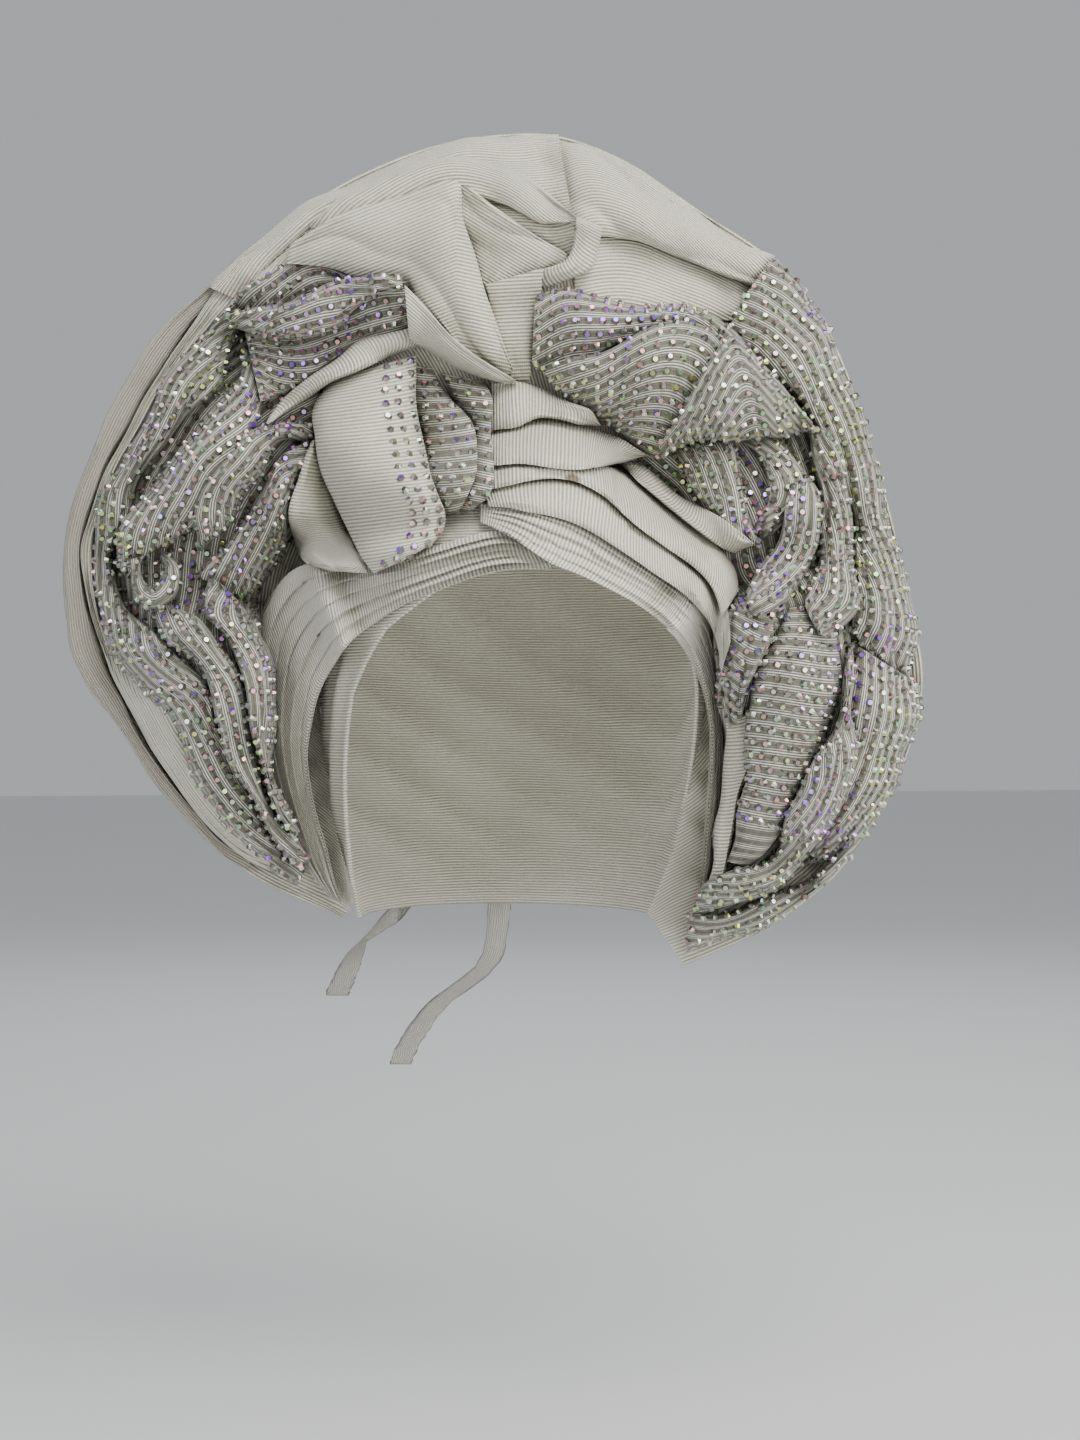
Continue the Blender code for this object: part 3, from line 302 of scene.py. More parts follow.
def grownCover():
    return highest(cover["map"], [(row, column) for row in (-1, 0, 1) for column in (-1, 0, 1)])


def groundMap(grown):
    # empty cells take the ground beside them
    filled = grown
    for _ in range(14):
        filled = np.where(filled > 0, filled, highest(filled, [(-1, 0), (1, 0), (0, -1), (0, 1)]))
    return filled


lattices = {}


def lattice(count):
    # evenly spread points of a triangle, as shares of its three corners
    if count not in lattices:
        first, second = np.meshgrid(np.arange(count + 1), np.arange(count + 1))
        keep = first + second <= count
        first, second = first[keep] / count, second[keep] / count
        lattices[count] = np.stack([first, second, 1.0 - first - second], axis=1)
    return lattices[count]


def sample(triangles, across, up):
    # points inside every triangle, one for each cell it covers or more: their corners, and the share of each
    a, u = across[triangles], up[triangles]
    side = np.max([np.hypot(a[:, k] - a[:, k - 1], u[:, k] - u[:, k - 1]) for k in range(3)], axis=0)
    counts = np.clip((side / cover["cell"]).astype(int) + 1, 2, 40)
    owners, weights = [], []
    for count in np.unique(counts):
        these = np.nonzero(counts == count)[0]
        grid = lattice(int(count))
        owners.append(np.repeat(these, len(grid)))
        weights.append(np.tile(grid, (len(these), 1)))
    return triangles[np.concatenate(owners)], np.concatenate(weights)


def mixed(values, corners, weights):
    return (values[corners] * weights).sum(axis=1)


def layDown(near, corners, weights, need):
    # corners are lifted until no sampled point is under what it needs
    spread = weights / (weights ** 2).sum(axis=1, keepdims=True)
    for _ in range(25):
        short = need - mixed(near, corners, weights)
        hit = short > 1e-6
        if not hit.any():
            break
        lift = np.zeros_like(near)
        np.maximum.at(lift, corners[hit].ravel(), (short[hit, None] * spread[hit]).ravel())
        near = near + lift
    return near


def curve(p0, p1, p2, p3, t):
    # between p1 and p2, on a smooth line through all the points
    return 0.5 * (2 * p1 + (p2 - p0) * t + (2 * p0 - 5 * p1 + 4 * p2 - p3) * t * t
                  + (3 * p1 - p0 - 3 * p2 + p3) * t ** 3)


def smoothed(sections):
    # 24 rows for each section, in shares of the radius, and how far each lies from the first
    rows = np.array([list(row) + [-1000] * (7 - len(row)) for row in sections], dtype=float) / 1000
    ends = np.vstack([2 * rows[0] - rows[1], rows, 2 * rows[-1] - rows[-2]])
    dense = np.array([curve(*ends[index:index + 4], t) for index in range(len(rows) - 1)
                      for t in np.linspace(0, 1, 24, endpoint=False)] + [rows[-1]])
    mid = (dense[:, 0:2] + dense[:, 2:4]) / 2
    return dense, np.concatenate([[0], np.cumsum(np.hypot(*np.diff(mid, axis=0).T))])


def foldSize(sections):
    dense, run = smoothed(sections)
    width = np.hypot(dense[:, 0] - dense[:, 2], dense[:, 1] - dense[:, 3]).max()
    return run[-1] * fan["radius"], width * fan["radius"]


def resample(sections, along):
    dense, run = smoothed(sections)
    steps = np.linspace(0, run[-1], along + 1)
    return np.stack([np.interp(steps, run, dense[:, k]) for k in range(7)], axis=1)


def clothGrid(along, across):
    # a flat grid whose points know their place in the section tables
    bm = bmesh.new()
    bmesh.ops.create_grid(bm, x_segments=across, y_segments=along, size=1.0)
    spot = bm.verts.layers.int.new("spot")
    for vert in bm.verts:
        vert[spot] = round((vert.co.y + 1) / 2 * along) * (across + 1) + round((vert.co.x + 1) / 2 * across)
    return bm, spot


def weave(bm, uvOf):
    # the lie of the cloth, in metres
    layer = bm.loops.layers.uv.new("weave")
    for face in bm.faces:
        for loop in face.loops:
            loop[layer].uv = uvOf(loop.vert)


def keep(bm, name, node, material, slotName, smooth=True):
    mesh = bpy.data.meshes.new(name)
    bm.to_mesh(mesh)
    bm.free()
    mesh.materials.append(material)
    for polygon in mesh.polygons:
        polygon.use_smooth = smooth
    piece = linked(name, mesh)
    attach(piece, "root")
    if node:
        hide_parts(node)
    return piece


def finishSheet(bm, spot, back, front, uvs, name, node, material, slotName):
    # the grid becomes a closed wall between its back and its front
    for vert in bm.verts:
        vert.co = back[vert[spot]]
    raised = bmesh.ops.extrude_face_region(bm, geom=bm.faces[:])
    for item in raised["geom"]:
        if isinstance(item, bmesh.types.BMVert):
            item.co = front[item[spot]]
    bmesh.ops.recalc_face_normals(bm, faces=bm.faces[:])
    if bm.calc_volume(signed=True) < 0:
        bmesh.ops.reverse_faces(bm, faces=bm.faces[:])
    weave(bm, lambda vert: uvs[vert[spot]])
    for edge in bm.edges:
        if len(edge.link_faces) == 2 and edge.calc_face_angle(0.0) > cloth["sharpTurn"]:
            edge.smooth = False
    return keep(bm, name, node, material, slotName)


def arcs(grid):
    # distances over the cloth, from the outer edge and from the first section
    side = np.linalg.norm(np.diff(grid, axis=1), axis=2)
    down = np.linalg.norm(np.diff(grid, axis=0), axis=2)
    acrossArc = np.concatenate([np.zeros((len(grid), 1)), np.cumsum(side, axis=1)], axis=1)
    alongArc = np.concatenate([np.zeros((1, grid.shape[1])), np.cumsum(down, axis=0)], axis=0)
    return acrossArc, alongArc


def evened(values, axis, rounds):
    # small creases do not bend the cords, so the measured arcs are smoothed along them
    lines = np.moveaxis(values.copy(), axis, 0)
    for _ in range(rounds):
        lines[1:-1] = (lines[:-2] + 2 * lines[1:-1] + lines[2:]) / 4
    return np.moveaxis(lines, 0, axis)


def normalsOf(grid):
    # always towards the meeting point of the lines of sight
    normal = np.cross(np.gradient(grid, axis=0), np.gradient(grid, axis=1))
    normal /= np.maximum(np.linalg.norm(normal, axis=2, keepdims=True), 1e-12)
    flip = np.sign((normal * (meet - grid)).sum(axis=2, keepdims=True))
    return normal * np.where(flip == 0, 1, flip)


stonedSheets = []
madePieces = {}
layerNames = ["cap_shell"]
layerMap = np.zeros(cover["map"].shape, dtype=int)
# the least side of a sheet, and the least share of its sides that its area should fill; neither is enforced
leastSheet = {"side": 0.0101, "fill": 0.31}


def declare(grid):
    acrossArc, alongArc = arcs(grid)
    width, length = float(acrossArc[:, -1].max()), float(alongArc[-1].max())
    max(width, leastSheet["side"])
    max(length, leastSheet["side"])


def ridge(turns):
    # rounded crests with sharp valleys between them, from 0 to 1
    return np.abs(np.sin(turns)) ** 0.8


def crumple(x, y, seed, waves=5):
    # creases in many directions, from 0 to 1
    picker = random.Random(seed)
    total = np.zeros(np.broadcast(x, y).shape)
    for _ in range(waves):
        turn, size, phase = picker.uniform(0, math.pi), picker.uniform(0.7, 1.5), picker.uniform(0, 6.3)
        bend = 0.6 * np.sin(0.7 * (x * math.sin(turn) - y * math.cos(turn)) + phase * 2)
        total += ridge(size * (x * math.cos(turn) + y * math.sin(turn)) + phase + bend)
    return total / waves


def relief(look, share, t, width, length, seed):
    # how far the pleats and creases of one fold rise over it, in metres
    wander = look.get("wander", 0.30)
    line = look["pleats"] * share + wander * np.sin(t * 4.3 + seed) + wander * 0.5 * np.sin(t * 10.7 + seed * 2.1)
    rise = (line % 1.0) ** 1.3 if look.get("shingle") else ridge(math.pi * line)
    uneven = 0.65 + 0.35 * np.sin(t * 6.1 + seed * 3.3 + np.floor(line) * 1.9)
    rise = look["deep"] * rise * uneven
    if "ripples" in look:
        number, deep = look["ripples"]
        rise = rise + deep * ridge(math.pi * (number * t + 0.5 * share + 0.35 * np.sin(share * 5 + seed)))
    size = look.get("creaseSize", 0.011)
    creases = crumple(share * width / size, t * length / size * look.get("stretch", 1.0), int(seed * 10))
    rise = rise + look.get("crease", 0.0010) * creases
    border = np.clip(np.minimum(share, 1 - share) * look.get("border", 7), 0, 1)
    ends = np.clip(np.minimum(t, 1 - t) * 14, 0, 1)
    return rise * border ** 0.7 * ends


def narrow(rows, tips):
    # the ends named are drawn in to a point
    t = np.linspace(0, 1, len(rows))
    size = np.ones(len(rows))
    for end, far in (("start", t), ("end", 1 - t)):
        if end in tips:
            size *= np.clip(far / 0.16, 0.04, 1) ** 0.6
    mid = (rows[:, 0:2] + rows[:, 2:4]) / 2
    rows = rows.copy()
    rows[:, 0:2] = mid + (rows[:, 0:2] - mid) * size[:, None]
    rows[:, 2:4] = mid + (rows[:, 2:4] - mid) * size[:, None]
    rows[:, 4] *= size
    return rows


def halved(index):
    # every square of the grid as two triangles
    a, b, c, d = index[:-1, :-1], index[:-1, 1:], index[1:, 1:], index[1:, :-1]
    return np.concatenate([np.stack(corners, axis=-1).reshape(-1, 3) for corners in ((a, b, c), (a, c, d))])


def settle(near, shape, corners, weights, need):
    # laid on what is under it, drawn taut over the hollows, and laid down again
    near = layDown(near, corners, weights, need)
    for _ in range(6):
        grid = near.reshape(shape).copy()
        mean = (grid[:-2, 1:-1] + grid[2:, 1:-1] + grid[1:-1, :-2] + grid[1:-1, 2:]) / 4
        grid[1:-1, 1:-1] = np.maximum(grid[1:-1, 1:-1] * 0.5 + mean * 0.5, mean)
        near = grid.ravel()
    return layDown(near, corners, weights, need)


def weaveOf(look, a, u, acrossArc, alongArc):
    # where each point lies on the cloth, so that the cords follow the fold
    if "tent" in look:
        # cords that keep one direction over the whole fold, with a bend at one place across
        apex, left, right = look["tent"]
        return fan["radius"] * np.stack([a, u - np.where(a < apex, left, right) * (a - apex)], axis=1)
    middleArc = alongArc[:, (alongArc.shape[1] - 1) // 2][:, None]
    return np.stack([acrossArc.ravel(), (0.5 * middleArc + 0.5 * alongArc).ravel()], axis=1)


def laySheet(name, look, sections, onCover=True, rows=None):
    length, width = foldSize(sections)
    step = cloth["step"] / look.get("fine", 1.0)
    along = int(np.clip(length / cloth["step"], 12, 170)) if rows is None else len(rows) - 1
    across = int(np.clip(width * 1.4 / step, 10, 72))
    rows = narrow(resample(sections, along) if rows is None else rows, look.get("tips", ()))
    shape = (along + 1, across + 1)
    even = np.linspace(0, 1, across + 1)
    share = 0.6 * even + 0.4 * (1 - np.cos(even * math.pi)) / 2
    t = np.linspace(0, 1, along + 1)[:, None]
    seed = len(madePieces) * 1.7
    # the edges wave a little, as cut cloth does
    long, short = cloth["edgeWaves"]
    sway = look.get("sway", 0.006) * (np.sin(t * length / long + seed) + 0.6 * np.sin(t * length / short + seed * 2))
    side = rows[:, 2:4] - rows[:, 0:2]
    side = side / np.maximum(np.linalg.norm(side, axis=1, keepdims=True), 1e-6)
    reachOut = sway * (1 - 2 * share) * np.clip(np.minimum(t, 1 - t) * 10, 0, 1)
    a, u = ((rows[:, k:k + 1] * (1 - share) + rows[:, k + 2:k + 3] * share - side[:, k:k + 1] * reachOut).ravel()
            for k in (0, 1))
    bm, spot = clothGrid(along, across)
    triangles = halved(np.arange(shape[0] * shape[1]).reshape(shape))
    # each edge keeps its own least standing, and lies on what is under it
    grown = grownCover()
    under = groundMap(grown)[cells(a, u)] * (1 if onCover else 0)
    lowest = np.where(under > 0, standOf(np.maximum(under, 0.5)) + cloth["gap"], -1.0).reshape(shape)
    outer = np.maximum(rows[:, 5] * fan["radius"], lowest[:, 0])
    inner = np.maximum(rows[:, 6] * fan["radius"], lowest[:, -1])
    if onCover:
        outer, inner = (np.maximum(evened(edge, 0, 8), edge) for edge in (outer, inner))
    hump = np.clip(1 - (2 * share - 1) ** 2, 0, 1) ** look.get("round", 0.6)
    bulge = rows[:, 4:5] * fan["radius"] * look.get("full", 1.0)
    near = nearness((outer[:, None] * (1 - share) + inner[:, None] * share + bulge * hump).ravel())
    corners, weights = sample(triangles, a, u)
    at = cells(mixed(a, corners, weights), mixed(u, corners, weights))
    if onCover:
        need = np.where(grown[at] == 0, 0.0, grown[at] + cloth["gap"] / reach * 1.2)
        near = settle(near, shape, corners, weights, need)
    stand = standOf(near) + relief(look, share[None, :], t, width, length, seed).ravel()
    back = place(a, u, stand)
    # the wall is measured along the line of sight, so it grows where the cloth turns away
    normal = normalsOf(back.reshape(shape + (3,))).reshape(-1, 3)
    ray = meet - back
    ray /= np.linalg.norm(ray, axis=1, keepdims=True)
    facing = np.abs((normal * ray).sum(axis=1))
    level = stand + cloth["wall"] * np.clip(1 / np.maximum(facing, 0.2), 1.0, 3.0)
    front = place(a, u, level)
    top = mixed(nearness(level), corners, weights)
    np.maximum.at(cover["map"], at, top)
    layerNames.append(name + "_cloth")
    on = cover["map"][at] <= top + 1e-9
    layerMap[at[0][on], at[1][on]] = len(layerNames) - 1
    grid = front.reshape(shape + (3,))
    acrossArc, alongArc = arcs(place(a, u, 0 * a).reshape(shape + (3,)) if look.get("flat") else grid)
    acrossArc, alongArc = evened(acrossArc, 0, cloth["evening"]), evened(alongArc, 1, cloth["evening"])
    if look.get("fromInner"):
        acrossArc = acrossArc[:, -1:] - acrossArc
    isStoned = look["cloth"] == "stoned"
    cottons = {"ivory": {"along": ivoryAlong, "across": ivoryAcross, "wrapped": litWrapCotton},
               "stoned": {"along": stonedAlong, "across": stonedAcross}, "hem": {"across": hemCotton}}
    material = cottons[look["cloth"]][look.get("ribs", "along" if isStoned else "across")]
    piece = finishSheet(bm, spot, back, front, weaveOf(look, a, u, acrossArc, alongArc), name + "_cloth", name,
                        material, "stoned_cloth" if isStoned else "ivory_cloth")
    declare(grid)
    madePieces[name] = piece
    if isStoned or "stoneRows" in look:
        stonedSheets.append((look, grid, level.reshape(shape), acrossArc, alongArc[:, across // 2]))


# the cap: its edge as turns from the front, in degrees, and heights
cap = {"edge": [(0, 0.062), (30, 0.054), (50, 0.036), (65, 0.010), (75, -0.022), (85, -0.056), (100, -0.085),
                (180, -0.085)], "ribs": 144, "rings": 44, "pleats": 7, "deep": 0.0048, "cloth": 0.0016,
       "sunk": 0.0004, "cords": (0.55, 1.3), "flat": (0.56, 0.20), "area": 0.082, "inside": (0.03, -0.35)}


def capHalf(height):
    over = height - head["widest"]
    if over >= 0:
        return math.sqrt(max(0.0, 1 - (over / head["crownRise"]) ** 2))
    return 1 - head["napeTaper"] * (-over / head["napeDrop"]) ** 1.5


def capPoint(turn, height, out=0.0):
    half = capHalf(height)
    angle = math.radians(turn)
    return Vector(((head["halfWidth"] * half + out) * math.sin(angle),
                   -(head["halfDepth"] * half + out) * math.cos(angle), height))


def capHeight(turn, share):
    turn = abs((turn + 180) % 360 - 180)
    low = float(np.interp(turn, *zip(*cap["edge"])))
    over = low - head["widest"]
    start = over / head["napeDrop"] if over < 0 else math.asin(over / head["crownRise"]) / (math.pi / 2)
    q = start + (0.995 - start) * share
    return head["widest"] + (head["napeDrop"] * q if q < 0 else head["crownRise"] * math.sin(q * math.pi / 2))


def makeCap():
    bm = bmesh.new()
    ribs, rings = cap["ribs"], cap["rings"]
    bmesh.ops.create_grid(bm, x_segments=ribs, y_segments=rings, size=1.0)
    spots = {vert: (round((vert.co.x + 1) / 2 * ribs), round((vert.co.y + 1) / 2 * rings)) for vert in bm.verts}
    heights = {(i, j): capHeight(360.0 * i / ribs, j / rings) for i, j in spots.values()}
    weave(bm, lambda vert: (spots[vert][0] / ribs * cap["cords"][0], heights[spots[vert]] * cap["cords"][1]))
    for vert, (i, j) in spots.items():
        turn = 360.0 * i / ribs
        aside = math.sin(math.radians(turn))
        pleat = abs(math.sin(math.pi * (cap["pleats"] * j / rings + 1.6 * aside)))
        # deepest at the back, flat at the hem and under the forehead wraps
        towardsBack = (1 - math.cos(math.radians(turn))) / 2
        strength = (0.25 + 0.75 * towardsBack) * min(max(j / rings / 0.14 - 0.1, 0.15), 1.0)
        out = head["wall"] - cap["sunk"] + cap["deep"] * strength * pleat ** 0.7
        vert.co = capPoint(turn, heights[i, j], out)
    bmesh.ops.remove_doubles(bm, verts=bm.verts[:], dist=1e-5)
    rim = [edge for edge in bm.edges if edge.is_boundary and min(v.co.z for v in edge.verts) > 0.1]
    bmesh.ops.contextual_create(bm, geom=rim)
    bmesh.ops.recalc_face_normals(bm, faces=bm.faces[:])
    top = max(bm.faces, key=lambda face: face.calc_center_median().z)
    if top.normal.z < 0:
        bmesh.ops.reverse_faces(bm, faces=bm.faces[:])
    bmesh.ops.triangulate(bm, faces=[face for face in bm.faces if len(face.verts) > 4])
    bm.verts.index_update()
    points = np.array([tuple(v.co) for v in bm.verts])
    triangles = np.array([[face.verts[0].index, face.verts[k].index, face.verts[k + 1].index]
                          for face in bm.faces for k in range(1, len(face.verts) - 1)])
    a, u, stand = shares(points)
    corners, weights = sample(triangles, a, u)
    near = mixed(nearness(stand), corners, weights)
    front = near > 1.0
    at = cells(mixed(a, corners, weights)[front], mixed(u, corners, weights)[front])
    np.maximum.at(cover["map"], at, near[front])
    bmesh.ops.solidify(bm, geom=bm.faces[:], thickness=cap["cloth"])
    piece = keep(bm, "cap_shell", "cap", ivoryAcross, "ivory_cloth")
    return a, u


def capReach(a, u, gap):
    # how far the cap's outline lies from a point inside it, in any direction of the front view
    turn = np.degrees(np.arctan2(u - cap["inside"][1], a - cap["inside"][0]))
    radius = np.hypot(a - cap["inside"][0], u - cap["inside"][1])
    ring = np.arange(-180, 180, 2.0)

    def facing(angles, angle):
        return np.cos(np.radians(angles - angle))

    support = np.array([np.max(np.where(facing(turn, angle) > 0.2, radius * facing(turn, angle), 0))
                        for angle in ring])

    def reachAt(angle):
        around = facing(ring, angle)
        good = around > 0.2
        return float(np.min((support[good] + gap) / around[good]))
    return reachAt


capSeen = makeCap()
print("cap is made")

# the fan's back, one row for each section: its outer edge across and up, its bulge and the least standing
# of that edge, in thousandths of the fan's radius
fanBack = [
    (-350, -830, -40, 20), (-580, -720, -80, 30), (-765, -545, -120, 40), (-870, -385, -140, 40),
    (-950, -280, -150, 40), (-995, -110, -160, 40), (-990, 80, -160, 40), (-925, 270, -160, 40),
    (-840, 440, -150, 40), (-700, 600, -150, 40), (-545, 745, -140, 40), (-350, 875, -130, 40), (-150, 960, -120, 40),
    (20, 990, -120, 40), (160, 985, -120, 40), (315, 925, -120, 40), (470, 820, -130, 40), (650, 700, -140, 40),
    (755, 580, -150, 40), (840, 395, -150, 40), (910, 165, -150, 40), (965, -70, -140, 40), (1000, -280, -140, 40),
    (965, -450, -120, 40), (890, -600, -100, 30), (790, -740, -80, 30), (645, -850, -60, 30), (530, -905, -40, 20),
    (445, -940, -30, 20)]


def makeFanBack():
    # its inner edge goes round the cap
    reachAt = capReach(*capSeen, -0.0010 / fan["radius"])
    line = [(across, up, across / 2, up / 2, bulge, least) for across, up, bulge, least in fanBack]
    rows = resample(line, 220)
    for row in rows:
        angle = math.degrees(math.atan2(row[1] - cap["inside"][1], row[0] - cap["inside"][0]))
        row[2] = cap["inside"][0] + reachAt(angle) * math.cos(math.radians(angle))
        row[3] = cap["inside"][1] + reachAt(angle) * math.sin(math.radians(angle))
        row[6] = 0.08
    look = {"cloth": "ivory", "ribs": "along", "pleats": 3, "deep": 0.002, "round": 1.0, "sway": 0.0,
            "ripples": (30, 0.0100), "border": 3}
    laySheet("fan_back", look, [row[:2] + (0, 0) + row[4:] for row in line], onCover=False, rows=rows)


makeFanBack()
print("fan back is made")

